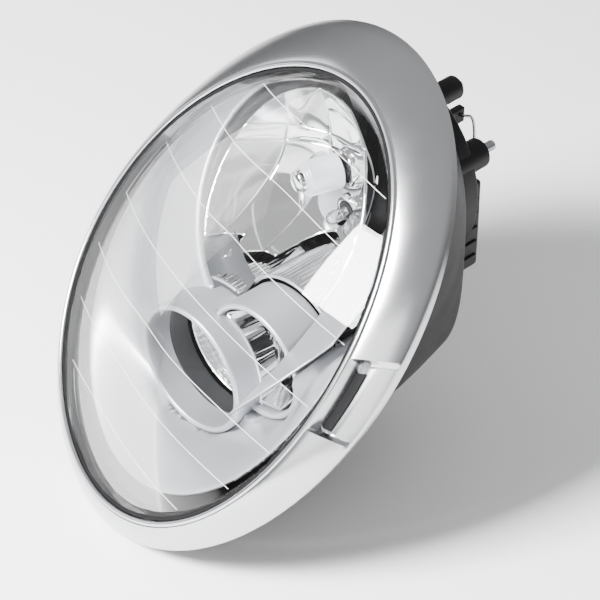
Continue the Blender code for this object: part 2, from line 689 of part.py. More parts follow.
def make_shield():
    """The grey cap over the bulb's front, on its leg."""
    r, wall = SHIELD_RADIUS, SHIELD_WALL
    profile = [
        (0, -1.5),
        (r * 0.55, -0.6),
        (r * 0.9, 1.6),
        (r, 4),
        (r, SHIELD_LENGTH),
        (r - wall, SHIELD_LENGTH),
        (r - wall, 4.4),
        (r * 0.5, 1.2),
        (0, 0.2),
    ]
    shield = turned("bulb_shield", profile, "shield_grey", count=24, axis=bulb_frame())
    leg = block("leg_tool", (-1.5, 85.5, 22.0), (4.5, 88.4, 30.0), "shield_grey")
    return add_to(shield, leg)


def make_main_bulb():
    """Glass capsule and quarter-turn base with its plug socket."""
    glass = [(0, 7), (GLASS_RADIUS * 0.7, 8), (GLASS_RADIUS, 11), (GLASS_RADIUS, 32.6), (0, 32.6)]
    turned("main_bulb_glass", glass, "clear_glass", count=ROUND_SMALL, axis=bulb_frame())
    hub = BULB_BORE - 0.6
    base = [
        (0, 33),
        (hub, 33),
        (hub, COLLAR_TO + GAP),
        (COLLAR_RADIUS + 1, COLLAR_TO + GAP),
        (COLLAR_RADIUS + 1, COLLAR_TO + 3),
        (BULB_BASE_RADIUS, COLLAR_TO + 3),
        (BULB_BASE_RADIUS, BULB_BASE_END),
        (BULB_PLUG_RADIUS, BULB_BASE_END),
        (BULB_PLUG_RADIUS, BULB_BASE_END - BULB_PLUG_DEPTH),
        (0, BULB_BASE_END - BULB_PLUG_DEPTH),
    ]
    turned("main_bulb_base", base, "black_plastic", count=20, axis=bulb_frame())


def make_position_bulb():
    """The small second bulb and the holder behind the reflector."""
    radius = POSITION_BULB_RADIUS
    glass = [(0, 71), (radius * 0.75, 72.4), (radius, 75), (radius, 81), (radius * 0.6, 85.6), (0, 85.6)]
    turned("position_bulb", glass, "clear_glass", POSITION_BULB, ROUND_SMALL)
    holder = POSITION_HOLDER_RADIUS - 0.8
    profile = [(0, 86), (holder, 86), (holder, 102), (holder + 2.4, 102), (holder + 2.4, 104.5), (3.5, 104.5), (3.5, 110), (0, 110)]
    turned("position_bulb_holder", profile, "black_plastic", POSITION_BULB, ROUND_SMALL)


def make_carrier():
    """The plate behind the reflector with its ball socket lug and the two adjuster lugs."""
    reach = SPOOL_FLANGE + 1.5
    left, right = PIVOT[0] - SOCKET_RADIUS - GAP - 3, PAN_SCREW[0] + reach - 1
    top, low = PIVOT[2] + reach + 2, TILT_SCREW[1] - reach
    outline = [
        (left + 7, top),
        (left, top - 7),
        (left, low),
        (left + 22, low),
        (-20, 4),
        (40, 4),
        (right, top - 22),
        (right, top),
    ]
    plate = prism("reflector_carrier", outline, PLATE_FRONT, PLATE_FRONT + PLATE_WALL, "black_plastic")
    depth = VERTEX[1] - plane_y(*REFLECTOR_CENTRE, REFLECTOR_RIM_DEPTH)
    share = math.sqrt((VERTEX[1] + REFLECTOR_WALL + 2 - PLATE_FRONT) / depth)
    half_x = REFLECTOR_HALF[0] * share + REFLECTOR_WALL + 1.6
    half_z = REFLECTOR_HALF[1] * share + REFLECTOR_WALL + 1.6
    window = [(VERTEX[0] + half_x, top + 20), (VERTEX[0] - half_x, top + 20)]
    for i in range(13):
        a = math.pi + math.pi * i / 12
        window.append((VERTEX[0] + half_x * math.cos(a), VERTEX[2] + half_z * math.sin(a)))
    bowl = prism("bowl_tool", window, PLATE_FRONT - 20, PLATE_FRONT + 20, "chrome")
    holes = [
        rod("pan_lug_tool", PAN_SCREW, SPOOL_WAIST + 1.2, 70, 120, "chrome"),
        rod("tilt_lug_tool", TILT_SCREW, SPOOL_WAIST + 1.2, 70, 120, "chrome"),
        rod("pivot_lug_tool", (PIVOT[0], PIVOT[2]), SOCKET_RADIUS + 0.6, 70, 120, "chrome", 24),
        rod("side_lug_tool", POSITION_BULB, POSITION_HOLDER_RADIUS + 3, 70, 120, "chrome"),
    ]
    return cut(plate, bowl, *holes)


# ---- aiming --------------------------------------------------------------------------------------
def spool_profile(bore):
    """A nut with a waist through the carrier's plate and a flange on each side of it."""
    front = PLATE_FRONT - SPOOL_PLAY
    back = PLATE_FRONT + PLATE_WALL + SPOOL_PLAY
    return [
        (bore, front - 5),
        (SPOOL_FLANGE, front - 5),
        (SPOOL_FLANGE, front),
        (SPOOL_WAIST, front),
        (SPOOL_WAIST, back),
        (SPOOL_FLANGE, back),
        (SPOOL_FLANGE, back + 3.5),
        (bore, back + 3.5),
    ]


def make_aiming():
    """Ball stud and socket, pan screw and nut, and the levelling motor with its spindle and knob."""
    centre = (PIVOT[0], PIVOT[2])
    inner_face = HOUSING_REAR - HOUSING_WALL
    ball = [(0, PIVOT[1] - BALL_RADIUS)]
    for degrees in (30, 60, 90, 120):
        a = math.radians(degrees)
        ball.append((BALL_RADIUS * math.sin(a), PIVOT[1] - BALL_RADIUS * math.cos(a)))
    ball += [(2.4, PIVOT[1] + 4.4), (2.4, inner_face - 4), (6, inner_face - 4), (6, inner_face - GAP), (0, inner_face - GAP)]
    turned("pivot_ball_stud", ball, "zinc_steel", centre, ROUND_SMALL)
    cup = []
    for degrees in (0, 30, 60, 90, 115, 132):
        a = math.radians(degrees)
        cup.append((SOCKET_RADIUS * math.sin(a), PIVOT[1] - SOCKET_RADIUS * math.cos(a)))
    hollow = BALL_RADIUS + 0.5
    for degrees in (132, 115, 90, 60, 30, 0):
        a = math.radians(degrees)
        cup.append((hollow * math.sin(a), PIVOT[1] - hollow * math.cos(a)))
    cup[0] = (0, PIVOT[1] - SOCKET_RADIUS)
    cup[-1] = (0, PIVOT[1] - hollow)
    turned("pivot_socket", cup, "white_nylon", centre, 20)
    turned("pan_adjuster_nut", spool_profile(SCREW_RADIUS + 0.3), "white_nylon", PAN_SCREW, ROUND_SMALL)
    shaft_start = DRUM_REAR - HOUSING_WALL - 8
    screw = [
        (0, 84),
        (SCREW_RADIUS, 84),
        (SCREW_RADIUS, shaft_start),
        (SHAFT_RADIUS + 1.4, shaft_start),
        (SHAFT_RADIUS + 1.4, shaft_start + 3),
        (SHAFT_RADIUS, shaft_start + 3),
        (SHAFT_RADIUS, SHAFT_END - 0.6),
        (SHAFT_RADIUS - 0.6, SHAFT_END),
        (0, SHAFT_END),
    ]
    turned("pan_adjuster_screw", screw, "zinc_steel", PAN_SCREW, 12)
    spool = spool_profile(SCREW_RADIUS)
    spindle_end = HOUSING_REAR + 14
    spindle = [(0, spool[0][1]), *spool[1:7], (SHAFT_RADIUS, spool[6][1]), (SHAFT_RADIUS, spindle_end), (0, spindle_end)]
    turned("tilt_spindle", spindle, "white_nylon", TILT_SCREW, ROUND_SMALL)
    x, z = TILT_SCREW
    rear = HOUSING_REAR + GAP
    motor = block("levelling_motor", (x - 22, rear, z - 24), (x + 10, rear + 30, z + 22), "black_plastic", 3)
    cut(motor, rod("spindle_bore_tool", TILT_SCREW, SHAFT_RADIUS + 0.6, 90, rear + 22, "chrome"))
    knob_start = rear + 30 + GAP
    knob = [(0, knob_start), (7, knob_start), (7, knob_start + 6), (SHAFT_RADIUS, knob_start + 6), (SHAFT_RADIUS, knob_start + 14), (0, knob_start + 14)]
    turned("tilt_knob", knob, "white_nylon", TILT_SCREW, 12)


# ---- housing -------------------------------------------------------------------------------------
def rear_point(angle, shrink):
    """(x, z) of the housing's rear outline, a rounded oblong."""
    power = 2 / HOUSING_SQUARENESS
    c, s = math.cos(angle), math.sin(angle)
    x = (HOUSING_REAR_HALF[0] - shrink) * math.copysign(abs(c) ** power, c)
    z = (HOUSING_REAR_HALF[1] - shrink) * math.copysign(abs(s) ** power, s)
    return HOUSING_REAR_CENTRE[0] + x, HOUSING_REAR_CENTRE[1] + z


def bucket_ring(share, shrink, front_back, rear_y):
    """One ring of the bucket between the lens's raked outline and the upright rear outline."""
    ring = []
    blend = share**HOUSING_TAPER
    for angle in angles(ROUND_LARGE):
        front = lens_edge(angle, GAP + SEAL_WIDTH - shrink, front_back)
        x, z = rear_point(angle, shrink)
        y = front.y + (rear_y - front.y) * share
        ring.append((front.x + (x - front.x) * blend, y, front.z + (z - front.z) * blend))
    return ring


def bucket(name, shrink, front_back, rear_y):
    """The bucket as one solid, outside or inside."""
    shares = (0, 0.4, 0.7, 0.88, 1)
    rings = [bucket_ring(s, shrink, front_back, rear_y) for s in shares]
    return loft(name, rings, "black_plastic")


def make_housing():
    """Bucket, drum, rear box and adjuster bosses in one moulding, hollowed and opened."""
    front = LENS_SKIRT + GAP
    shell = bucket("housing_shell", 0, front, HOUSING_REAR)
    drum = rod("drum_tool", DRUM_CENTRE, DRUM_RADIUS, 92, DRUM_REAR, "black_plastic", ROUND_LAMP)
    box = block("box_tool", BOX_LOW, BOX_HIGH, "black_plastic", 3)
    boss = rod("boss_tool", PAN_SCREW, 9, 116, SHAFT_END - 11, "black_plastic", 20)
    stud_boss = rod("stud_boss_tool", STUD, 7, 116, STUD_END - 4, "black_plastic", ROUND_SMALL)
    add_to(shell, drum, box, boss, stud_boss)
    inner = bucket("inner_tool", HOUSING_WALL, front - 4, HOUSING_REAR - HOUSING_WALL)
    drum_room = DRUM_RADIUS - HOUSING_WALL
    inner_drum = rod("inner_drum_tool", DRUM_CENTRE, drum_room, 90, DRUM_REAR - HOUSING_WALL, "chrome", ROUND_LAMP)
    port = rod("port_tool", PORT_CENTRE, PORT_RADIUS, 100, DRUM_REAR + 20, "chrome", 32)
    lower = rod("lower_port_tool", LOWER_CAP, LOWER_CAP_RADIUS - 3, 80, HOUSING_REAR + 20, "chrome", 32)
    shaft = rod("shaft_tool", PAN_SCREW, SHAFT_RADIUS + 0.5, 110, SHAFT_END + 10, "chrome", 20)
    collar_end = DRUM_REAR - HOUSING_WALL - 4
    collar = rod("collar_space_tool", PAN_SCREW, SHAFT_RADIUS + 2.4, 90, collar_end, "chrome", 20)
    spindle = rod("spindle_tool", TILT_SCREW, SHAFT_RADIUS + 1, 90, HOUSING_REAR + 20, "chrome")
    stud = rod("stud_tool", STUD, 2.5 + GAP, STUD_END - 20, STUD_END + 20, "chrome")
    bushes = []
    for name, (x, y, z) in EARS.items():
        near, far = y - 1 - GAP, y + EAR_WALL + 1 + GAP
        bushes.append(rod(f"bush_{name}_room_tool", (x, z), BUSH_RADIUS + GAP, near, far, "chrome"))
    return cut(shell, inner, inner_drum, port, lower, shaft, collar, spindle, stud, *bushes)


def make_ears():
    """Three mounting ears, plates welded to the outside of the housing, each bored for its bush."""
    half = EAR_SIZE / 2
    for name, (x, y, z) in EARS.items():
        low, high = (x - half, y, z - half), (x + half, y + EAR_WALL, z + half)
        ear = block(f"mount_ear_{name}", low, high, "black_plastic", 1)
        room = bucket(f"ear_{name}_bucket_tool", -GAP, LENS_SKIRT + GAP, HOUSING_REAR + GAP)
        drum = rod(f"ear_{name}_drum_tool", DRUM_CENTRE, DRUM_RADIUS + GAP, 92, DRUM_REAR + GAP, "chrome", ROUND_LAMP)
        hole = rod(f"ear_{name}_hole_tool", (x, z), BUSH_RADIUS + GAP, y - 5, y + EAR_WALL + 5, "chrome")
        cut(ear, room, drum, hole)


def make_housing_fittings():
    """Stud, bushes, vent cap, wiring socket and the lower access cap."""
    stud = [(0, STUD_END - 19), (2.5, STUD_END - 19), (2.5, STUD_END - 0.8), (1.7, STUD_END), (0, STUD_END)]
    turned("upper_stud", stud, "zinc_steel", STUD, 12)
    for name, (x, y, z) in EARS.items():
        bush = [(BUSH_BORE, y - 1), (BUSH_RADIUS, y - 1), (BUSH_RADIUS, y + EAR_WALL + 1), (BUSH_BORE, y + EAR_WALL + 1)]
        turned(f"mount_bush_{name}", bush, "zinc_steel", (x, z), ROUND_SMALL)
    rear = HOUSING_REAR + GAP
    cap = [
        (0, rear + 5),
        (0, rear + 9),
        (LOWER_CAP_RADIUS - 6, rear + 9),
        (LOWER_CAP_RADIUS, rear + 4),
        (LOWER_CAP_RADIUS, rear),
        (LOWER_CAP_RADIUS - 3.6, rear),
        (LOWER_CAP_RADIUS - 3.6, rear - 6),
        (LOWER_CAP_RADIUS - 6, rear - 6),
        (LOWER_CAP_RADIUS - 6, rear + 5),
    ]
    lower_cap = turned("lower_access_cap", cap[1:] + cap[:1], "black_plastic", LOWER_CAP, 28)
    x, z = LOWER_CAP
    grip = block("grip_tool", (x - 16, rear + 7, z - 2.5), (x + 16, rear + 16, z + 2.5), "black_plastic", 1)
    add_to(lower_cap, grip)
    vent = [(0, rear), (8, rear), (8, rear + 6), (6.5, rear + 8), (0, rear + 8)]
    turned("vent_cap", vent, "black_rubber", (-34, -62), ROUND_SMALL)
    wall = SOCKET_WALL
    face = BOX_HIGH[1] + GAP
    low = (SOCKET_AT[0], face, SOCKET_AT[1])
    high = (SOCKET_AT[0] + SOCKET_SIZE[0], face + SOCKET_SIZE[1], SOCKET_AT[1] + SOCKET_SIZE[2])
    socket = block("wiring_socket", low, high, "black_plastic", 1)
    inside_low = (low[0] + wall, low[1] + wall, low[2] + wall)
    inside_high = (high[0] - wall, high[1] + 20, high[2] - wall)
    cut(socket, block("socket_tool", inside_low, inside_high, "chrome"))


def make_rear_cover():
    """The round-cornered cover over the port, its seal, and the sprung wire that holds it."""
    x, z = PORT_CENTRE
    face = DRUM_REAR + GAP
    rim = face + 1.8
    cup = [
        (0, face + COVER_DEPTH),
        (PORT_RADIUS - 9, face + COVER_DEPTH),
        (PORT_RADIUS - 2, face + COVER_DEPTH - 4),
        (PORT_RADIUS, rim + 3),
        (COVER_HALF - 1, rim + 3),
        (COVER_HALF - 1, rim),
        (PORT_RADIUS - COVER_WALL, rim),
        (PORT_RADIUS - COVER_WALL, face + COVER_DEPTH - 5.5),
        (PORT_RADIUS - 10, face + COVER_DEPTH - COVER_WALL),
        (0, face + COVER_DEPTH - COVER_WALL),
    ]
    cover = turned("rear_cover", cup, "black_plastic", PORT_CENTRE, 36)
    top = z + BAIL_PIN_UP
    reach = COVER_EAR + 2.5
    ears = [block("bail_bar_tool", (x - reach, rim, top - 6), (x + reach, rim + 3, top + 4), "black_plastic")]
    for side in (-1, 1):
        low = (x + side * COVER_EAR - 2.5, rim + 0.6, top - 6)
        high = (x + side * COVER_EAR + 2.5, rim + 17, top + 4)
        ears.append(block(f"bail_ear_{side}_tool", low, high, "black_plastic"))
    add_to(cover, *ears)
    pin_y = BAIL_PIN_Y
    pin = rod("bail_pin_tool", (0, 0), BAIL_WIRE + 0.5, -60, 60, "chrome")
    pin.data.transform(Matrix.Translation(Vector((x, pin_y, top)) * MM) @ Matrix.Rotation(math.pi / 2, 4, "Z"))
    cut(cover, pin)
    ring = [(PORT_RADIUS + 0.8, face), (COVER_HALF - 1.5, face), (COVER_HALF - 1.5, rim - GAP), (PORT_RADIUS + 0.8, rim - GAP)]
    turned("cover_seal", ring, "black_rubber", PORT_CENTRE, 36)
    half = COVER_EAR
    out, low = half + 5, z - 27
    back = pin_y + 9
    right = [(half - 4, pin_y, top), (out - 1, pin_y, top), (out, pin_y + 1.2, top), (out, back, top - 4), (out, back + 2, top - 28)]
    right += [(out, back + 1, low + 5), (out - 4, back, low)]
    points = [(x + px, py, pz) for px, py, pz in right]
    points += [(x - px, py, pz) for px, py, pz in reversed(right)]
    wire("cover_bail", points, BAIL_WIRE, "spring_steel")


def make_surround():
    """The dark wall behind the left part of the bezel's opening."""
    build = bmesh.new()
    rows = []
    steps = 16
    near = BEZEL_WALL + GAP
    far = near + SURROUND_DEPTH
    for i in range(steps + 1):
        a = math.radians(SURROUND_FROM + (SURROUND_TO - SURROUND_FROM) * i / steps)
        section = []
        for grow, back in ((GAP, near), (GAP + SURROUND_WALL, near), (GAP + SURROUND_WALL, far), (GAP, far)):
            x = HOLE_CENTRE[0] + (HOLE_HALF[0] + grow) * math.cos(a)
            z = HOLE_CENTRE[1] + (HOLE_HALF[1] + grow) * math.sin(a)
            base = bezel_front(x, z, share_of(x, z))
            section.append((x, base + back, z))
        rows.append(ring_of(build, section))
    join_rings(build, rows)
    build.faces.new(rows[0])
    build.faces.new(rows[-1])
    return add_object("reflector_surround", build, "dark_grey_plastic")


# ---- joints --------------------------------------------------------------------------------------
def pivot_frame(name, point, nodes, parent=None):
    """An empty on a joint's axis that carries the nodes of one moving body; parent is the body it rides on."""
    empty = bpy.data.objects.new(name, None)
    empty.empty_display_size = 0.01
    bpy.context.collection.objects.link(empty)
    point = Vector(point) * MM
    base = Vector((0, 0, 0))
    if parent is not None:
        empty.parent = parent
        base = Vector(parent["joint_point"])
    empty["joint_point"] = point[:]
    empty.location = point - base
    for node in nodes:
        obj = bpy.data.objects[node]
        obj.data.transform(Matrix.Translation(-point) @ obj.matrix_basis)
        obj.matrix_basis = Matrix.Identity(4)
        obj.parent = empty
    return empty


def place_joints():
    """One empty for each moving body, on its joint's axis."""
    pivot_frame("pan_axis", PIVOT, ["pivot_socket"])
    pan = bpy.data.objects["pan_axis"]
    tilting = ["main_reflector", "reflector_carrier", "bulb_shield"]
    tilt = pivot_frame("tilt_axis", PIVOT, tilting, pan)
    pivot_frame("main_bulb_axis", BULB_TIP, ["main_bulb_glass", "main_bulb_base"], tilt)
    side = (POSITION_BULB[0], POSITION_BULB_BACK, POSITION_BULB[1])
    pivot_frame("position_bulb_axis", side, ["position_bulb", "position_bulb_holder"], tilt)
    left = (LEFT_LAMP[0], LAMP_VERTEX_LEFT, LEFT_LAMP[1])
    pivot_frame("left_bulb_axis", left, ["left_bulb", "left_bulb_holder"])
    right = (RIGHT_LAMP[0], LAMP_VERTEX_RIGHT, RIGHT_LAMP[1])
    pivot_frame("right_bulb_axis", right, ["right_bulb", "right_bulb_holder"])
    pivot_frame("pan_nut_axis", (PAN_SCREW[0], PLATE_FRONT, PAN_SCREW[1]), ["pan_adjuster_nut"])
    pivot_frame("pan_screw_axis", (PAN_SCREW[0], SHAFT_END, PAN_SCREW[1]), ["pan_adjuster_screw"])
    pivot_frame("tilt_spindle_axis", (TILT_SCREW[0], PLATE_FRONT, TILT_SCREW[1]), ["tilt_spindle"])
    pivot_frame("tilt_knob_axis", (TILT_SCREW[0], HOUSING_REAR, TILT_SCREW[1]), ["tilt_knob"])
    pivot_frame("lower_cap_axis", (LOWER_CAP[0], HOUSING_REAR, LOWER_CAP[1]), ["lower_access_cap"])
    port = (PORT_CENTRE[0], DRUM_REAR, PORT_CENTRE[1])
    cover = pivot_frame("cover_axis", port, ["rear_cover", "cover_seal"])
    pivot_frame("bail_axis", (PORT_CENTRE[0], BAIL_PIN_Y, PORT_CENTRE[1] + BAIL_PIN_UP), ["cover_bail"], cover)


def main():
    """Builds every piece of the lamp."""
    clear_scene()
    make_front_lens()
    make_lens_seal()
    make_trim_ring()
    make_trim_clips()
    make_bezel()
    make_surround()
    make_twin_lamps()
    make_fluted_apron()
    make_main_reflector()
    make_shield()
    make_main_bulb()
    make_position_bulb()
    make_carrier()
    make_aiming()
    make_housing()
    make_ears()
    make_housing_fittings()
    make_rear_cover()
    place_joints()


main()
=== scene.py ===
# %% [markdown]
# # An oval car headlight
# The lamp is a clear domed lens in a bright ring, a big faceted reflector above two short round
# barrels, and a dark moulded housing behind. The frame holds every piece in its real place; the cells
# below give each visible piece its fine surface and its finish.
# Lengths in this file are millimetres, and one function turns them to metres.

import math

import bmesh
import bpy
import numpy as np
from mathutils import Matrix, Vector


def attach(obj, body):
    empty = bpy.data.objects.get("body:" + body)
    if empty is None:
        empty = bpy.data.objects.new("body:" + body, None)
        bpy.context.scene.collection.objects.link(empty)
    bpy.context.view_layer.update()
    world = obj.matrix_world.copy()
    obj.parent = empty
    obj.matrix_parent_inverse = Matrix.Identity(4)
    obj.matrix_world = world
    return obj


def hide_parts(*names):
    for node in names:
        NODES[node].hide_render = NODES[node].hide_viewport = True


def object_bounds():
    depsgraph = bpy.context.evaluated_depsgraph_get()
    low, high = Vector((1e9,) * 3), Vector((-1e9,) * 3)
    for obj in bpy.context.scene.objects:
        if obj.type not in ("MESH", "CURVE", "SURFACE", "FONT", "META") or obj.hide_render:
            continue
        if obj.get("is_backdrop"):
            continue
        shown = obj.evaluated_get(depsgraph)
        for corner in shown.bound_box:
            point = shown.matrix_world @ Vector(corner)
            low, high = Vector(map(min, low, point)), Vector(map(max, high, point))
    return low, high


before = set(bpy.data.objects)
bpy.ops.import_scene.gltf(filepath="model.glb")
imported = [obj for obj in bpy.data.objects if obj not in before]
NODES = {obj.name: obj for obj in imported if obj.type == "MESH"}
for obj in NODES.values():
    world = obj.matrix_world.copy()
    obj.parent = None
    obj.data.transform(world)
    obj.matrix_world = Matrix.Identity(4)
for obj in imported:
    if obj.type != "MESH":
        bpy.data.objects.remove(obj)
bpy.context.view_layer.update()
TURN = 2 * math.pi

# %% [markdown]
# ## Finishes
# A finish is named for the real material and how it was made. The helper adds one node at a time, so
# each material reads as a short list. Colours are sRGB hex and become linear in one place.


# %% Helpers for materials
def linear(code):
    """sRGB hex to linear: c/12.92 below 0.04045, else ((c+0.055)/1.055)^2.4."""
    channels = np.array([int(code[i : i + 2], 16) / 255 for i in (0, 2, 4)])
    low, high = channels / 12.92, ((channels + 0.055) / 1.055) ** 2.4
    return (*np.where(channels <= 0.04045, low, high), 1.0)


def add(material, kind, settings=None, **links):
    """Adds one node. settings are its properties or socket values; links name its sockets' sources."""
    tree = material.node_tree
    node = tree.nodes.new("ShaderNode" + kind)
    for key, value in (settings or {}).items():
        if hasattr(node, key) and key not in node.inputs:
            setattr(node, key, value)
        else:
            node.inputs[key].default_value = value
    for key, source in links.items():
        tree.links.new(source, node.inputs[key.replace("_", " ")])
    return node


def finish(name, colour, metallic=0.0, roughness=0.5, **more):
    """A Principled material with its constants on the shader's own sockets."""
    material = bpy.data.materials.new(name)
    material.use_nodes = True
    shader = material.node_tree.nodes["Principled BSDF"]
    shader.inputs["Base Color"].default_value = linear(colour)
    shader.inputs["Metallic"].default_value = metallic
    shader.inputs["Roughness"].default_value = roughness
    for key, value in more.items():
        shader.inputs[key.replace("_", " ")].default_value = value
    return material


def shader_of(material):
    """The material's Principled shader."""
    return material.node_tree.nodes["Principled BSDF"]


def plug(material, source, socket):
    """Links a node's output to a socket of the shader."""
    material.node_tree.links.new(source, shader_of(material).inputs[socket])


def mottle(material, low, high, size_mm, socket="Roughness", detail=4.0):
    """Noise on object coordinates, size_mm across, mapped to low..high on one socket."""
    place = add(material, "TexCoord")
    settings = {"Scale": 1000 / size_mm, "Detail": detail}
    noise = add(material, "TexNoise", settings, Vector=place.outputs["Object"])
    span = add(material, "MapRange", {"To Min": low, "To Max": high}, Value=noise.outputs["Fac"])
    plug(material, span.outputs["Result"], socket)
    return noise


def grain(material, size_mm, depth_mm, strength=0.5):
    """A fine bump from noise on object coordinates, as on a spark-eroded mould."""
    place = add(material, "TexCoord")
    settings = {"Scale": 1000 / size_mm, "Detail": 3.0}
    noise = add(material, "TexNoise", settings, Vector=place.outputs["Object"])
    settings = {"Strength": strength, "Distance": depth_mm / 1000}
    bump = add(material, "Bump", settings, Height=noise.outputs["Fac"])
    plug(material, bump.outputs["Normal"], "Normal")


def clear_finish(name, colour, facing, grazing, roughness=0.015):
    """Clear sheet: a mirror that is nearly see-through face on and bright at grazing angles."""
    material = finish(name, colour, 1.0, roughness)
    edge = add(material, "LayerWeight", {"Blend": 0.25})
    span = add(material, "MapRange", {"To Min": facing, "To Max": grazing}, Value=edge.outputs["Fresnel"])
    plug(material, span.outputs["Result"], "Alpha")
    return material


# %% [markdown]
# The ring is satin-plated zinc alloy: a metal with a soft, wide highlight and faint polishing marks.
# The mask inside the lens is metallised plastic, duller and paler. The reflectors are vacuum-metallised,
# so they are true mirrors. The housing is black talc-filled polypropylene with a fine mould grain.

# %% Make the finishes
satin_ring = finish("satin plated ring", "BFC0C3", 1.0, 0.2)
mottle(satin_ring, 0.17, 0.24, 18)
satin_mask = finish("satin metallised mask", "B2B4B8", 0.75, 0.36)
mottle(satin_mask, 0.38, 0.46, 9)
mirror = finish("vacuum metallised mirror", "F2F3F4", 1.0, 0.05)
mottle(mirror, 0.035, 0.075, 12)
mirror_textured = finish("metallised stippled band", "ECEDEE", 1.0, 0.12)
grain(mirror_textured, 1.1, 0.35, 0.9)
lens_clear = clear_finish("hard coated polycarbonate", "FFFFFF", 0.006, 0.4)
glass_clear = clear_finish("quartz glass", "F6FAFC", 0.14, 0.9, 0.01)
grey_wall = finish("dark grey moulded wall", "3E4043", 0.1, 0.5)
grain(grey_wall, 0.5, 0.02)
charcoal = finish("charcoal moulded tube", "191A1C", 0.0, 0.55)
grain(charcoal, 0.5, 0.03)
housing_black = finish("black filled polypropylene", "0B0B0C", 0.0, 0.5, Specular_IOR_Level=0.3)
mottle(housing_black, 0.42, 0.6, 22)
grain(housing_black, 0.9, 0.05, 0.35)
rubber = finish("black moulded rubber", "050506", 0.0, 0.75, Specular_IOR_Level=0.2)
grain(rubber, 0.7, 0.04)
zinc = finish("zinc plated steel", "A6AAAE", 1.0, 0.3)
mottle(zinc, 0.22, 0.42, 3)
spring = finish("drawn spring steel", "8A8E92", 1.0, 0.28)
mottle(spring, 0.2, 0.36, 2)
shield_paint = finish("grey painted shield", "B4B6B9", 0.35, 0.38)
grain(shield_paint, 0.6, 0.02)
nylon = finish("natural nylon", "D8D6CC", 0.0, 0.42, Subsurface_Weight=0.1)
mottle(nylon, 0.36, 0.5, 6)

# %% [markdown]
# ## Surfaces from grids
# Almost every piece is a grid of points: rows by columns, worked out as whole arrays. The helpers
# below turn a grid into a mesh, round the corners of a turned profile, and trim a sheet to an outline.


# %% Helpers that make meshes
def make_mesh(name, points, faces, material, body, slot, stands_for=(), flip=None, sharp=40.0):
    """A piece from points in millimetres: doubles merged, normals outward, smooth but for sharp edges.

    flip is a direction that the mean normal of an open sheet should point along."""
    mesh = bpy.data.meshes.new(name)
    mesh.from_pydata((np.asarray(points, float).reshape(-1, 3) / 1000).tolist(), [], faces.tolist())
    work = bmesh.new()
    work.from_mesh(mesh)
    bmesh.ops.remove_doubles(work, verts=work.verts, dist=2e-6)
    bmesh.ops.recalc_face_normals(work, faces=work.faces)
    if flip is not None:
        total = sum((f.normal * f.calc_area() for f in work.faces), Vector((0, 0, 0)))
        if total.dot(Vector(flip)) < 0:
            bmesh.ops.reverse_faces(work, faces=work.faces)
    work.to_mesh(mesh)
    work.free()
    mesh.shade_smooth()
    mesh.set_sharp_from_angle(angle=math.radians(sharp))
    piece = bpy.data.objects.new(name, mesh)
    bpy.context.scene.collection.objects.link(piece)
    mesh.materials.append(material)
    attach(piece, body)
    if stands_for:
        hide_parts(*stands_for)
    return piece


def grid_faces(rows, columns, around=False, closed=False):
    """Quads of a grid; around joins the last column to the first, closed the last row to the first."""
    number = np.arange(rows * columns).reshape(rows, columns)
    if around:
        number = np.concatenate([number, number[:, :1]], 1)
    if closed:
        number = np.concatenate([number, number[:1]], 0)
    corners = (number[:-1, :-1], number[:-1, 1:], number[1:, 1:], number[1:, :-1])
    return np.stack(corners, -1).reshape(-1, 4)


def surface(name, grid, material, body, slot, stands_for=(), around=False, closed=False, **more):
    """A piece from one grid of points, rows x columns x 3."""
    faces = grid_faces(grid.shape[0], grid.shape[1], around, closed)
    return make_mesh(name, grid, faces, material, body, slot, stands_for, **more)


def eased(profile, radius=0.6, steps=3, closed=True):
    """Rounds each corner: (1-t)^2 A + 2t(1-t) B + t^2 C, with A and C on the two sides of corner B."""
    p = np.asarray(profile, float)
    before, after = np.roll(p, 1, 0) - p, np.roll(p, -1, 0) - p
    reach_b, reach_a = np.hypot(*before.T), np.hypot(*after.T)
    take = np.minimum(radius, 0.45 * np.minimum(reach_b, reach_a))[:, None]
    a = p + before / np.maximum(reach_b, 1e-9)[:, None] * take
    c = p + after / np.maximum(reach_a, 1e-9)[:, None] * take
    t = np.linspace(0, 1, steps + 1)[None, :, None]
    arcs = (1 - t) ** 2 * a[:, None] + 2 * t * (1 - t) * p[:, None] + t**2 * c[:, None]
    if closed:
        return arcs.reshape(-1, 2)
    return np.concatenate([p[:1], arcs[1:-1].reshape(-1, 2), p[-1:]])


def turned_grid(profile, centre, count=128, line=None, wobble=None):
    """Profile points (radius, distance) turned about a line along +Y through centre, or about line."""
    angle = np.arange(count) * TURN / count
    radius = profile[:, 0][:, None] * np.ones(count)
    along = profile[:, 1][:, None] * np.ones(count)
    if wobble is not None:
        radius, along = wobble(angle[None, :], radius, along)
    points = np.stack([radius * np.cos(angle), along, radius * np.sin(angle)], -1)
    if line is None:
        return points + np.array([centre[0], 0, centre[1]])
    turn = np.array(line.to_3x3())
    return points @ turn.T + np.array(line.to_translation())


def turned(name, profile, centre, material, body, slot, stands_for=(), ease=0.6, open_ends=True, **more):
    """A turned piece. With open_ends the profile starts and ends on the axis; otherwise it is a loop."""
    count, line, wobble = more.pop("count", 128), more.pop("line", None), more.pop("wobble", None)
    rounded = eased(profile, ease, closed=not open_ends) if ease else np.asarray(profile, float)
    grid = turned_grid(rounded, centre, count, line, wobble)
    return surface(name, grid, material, body, slot, stands_for, True, not open_ends, **more)


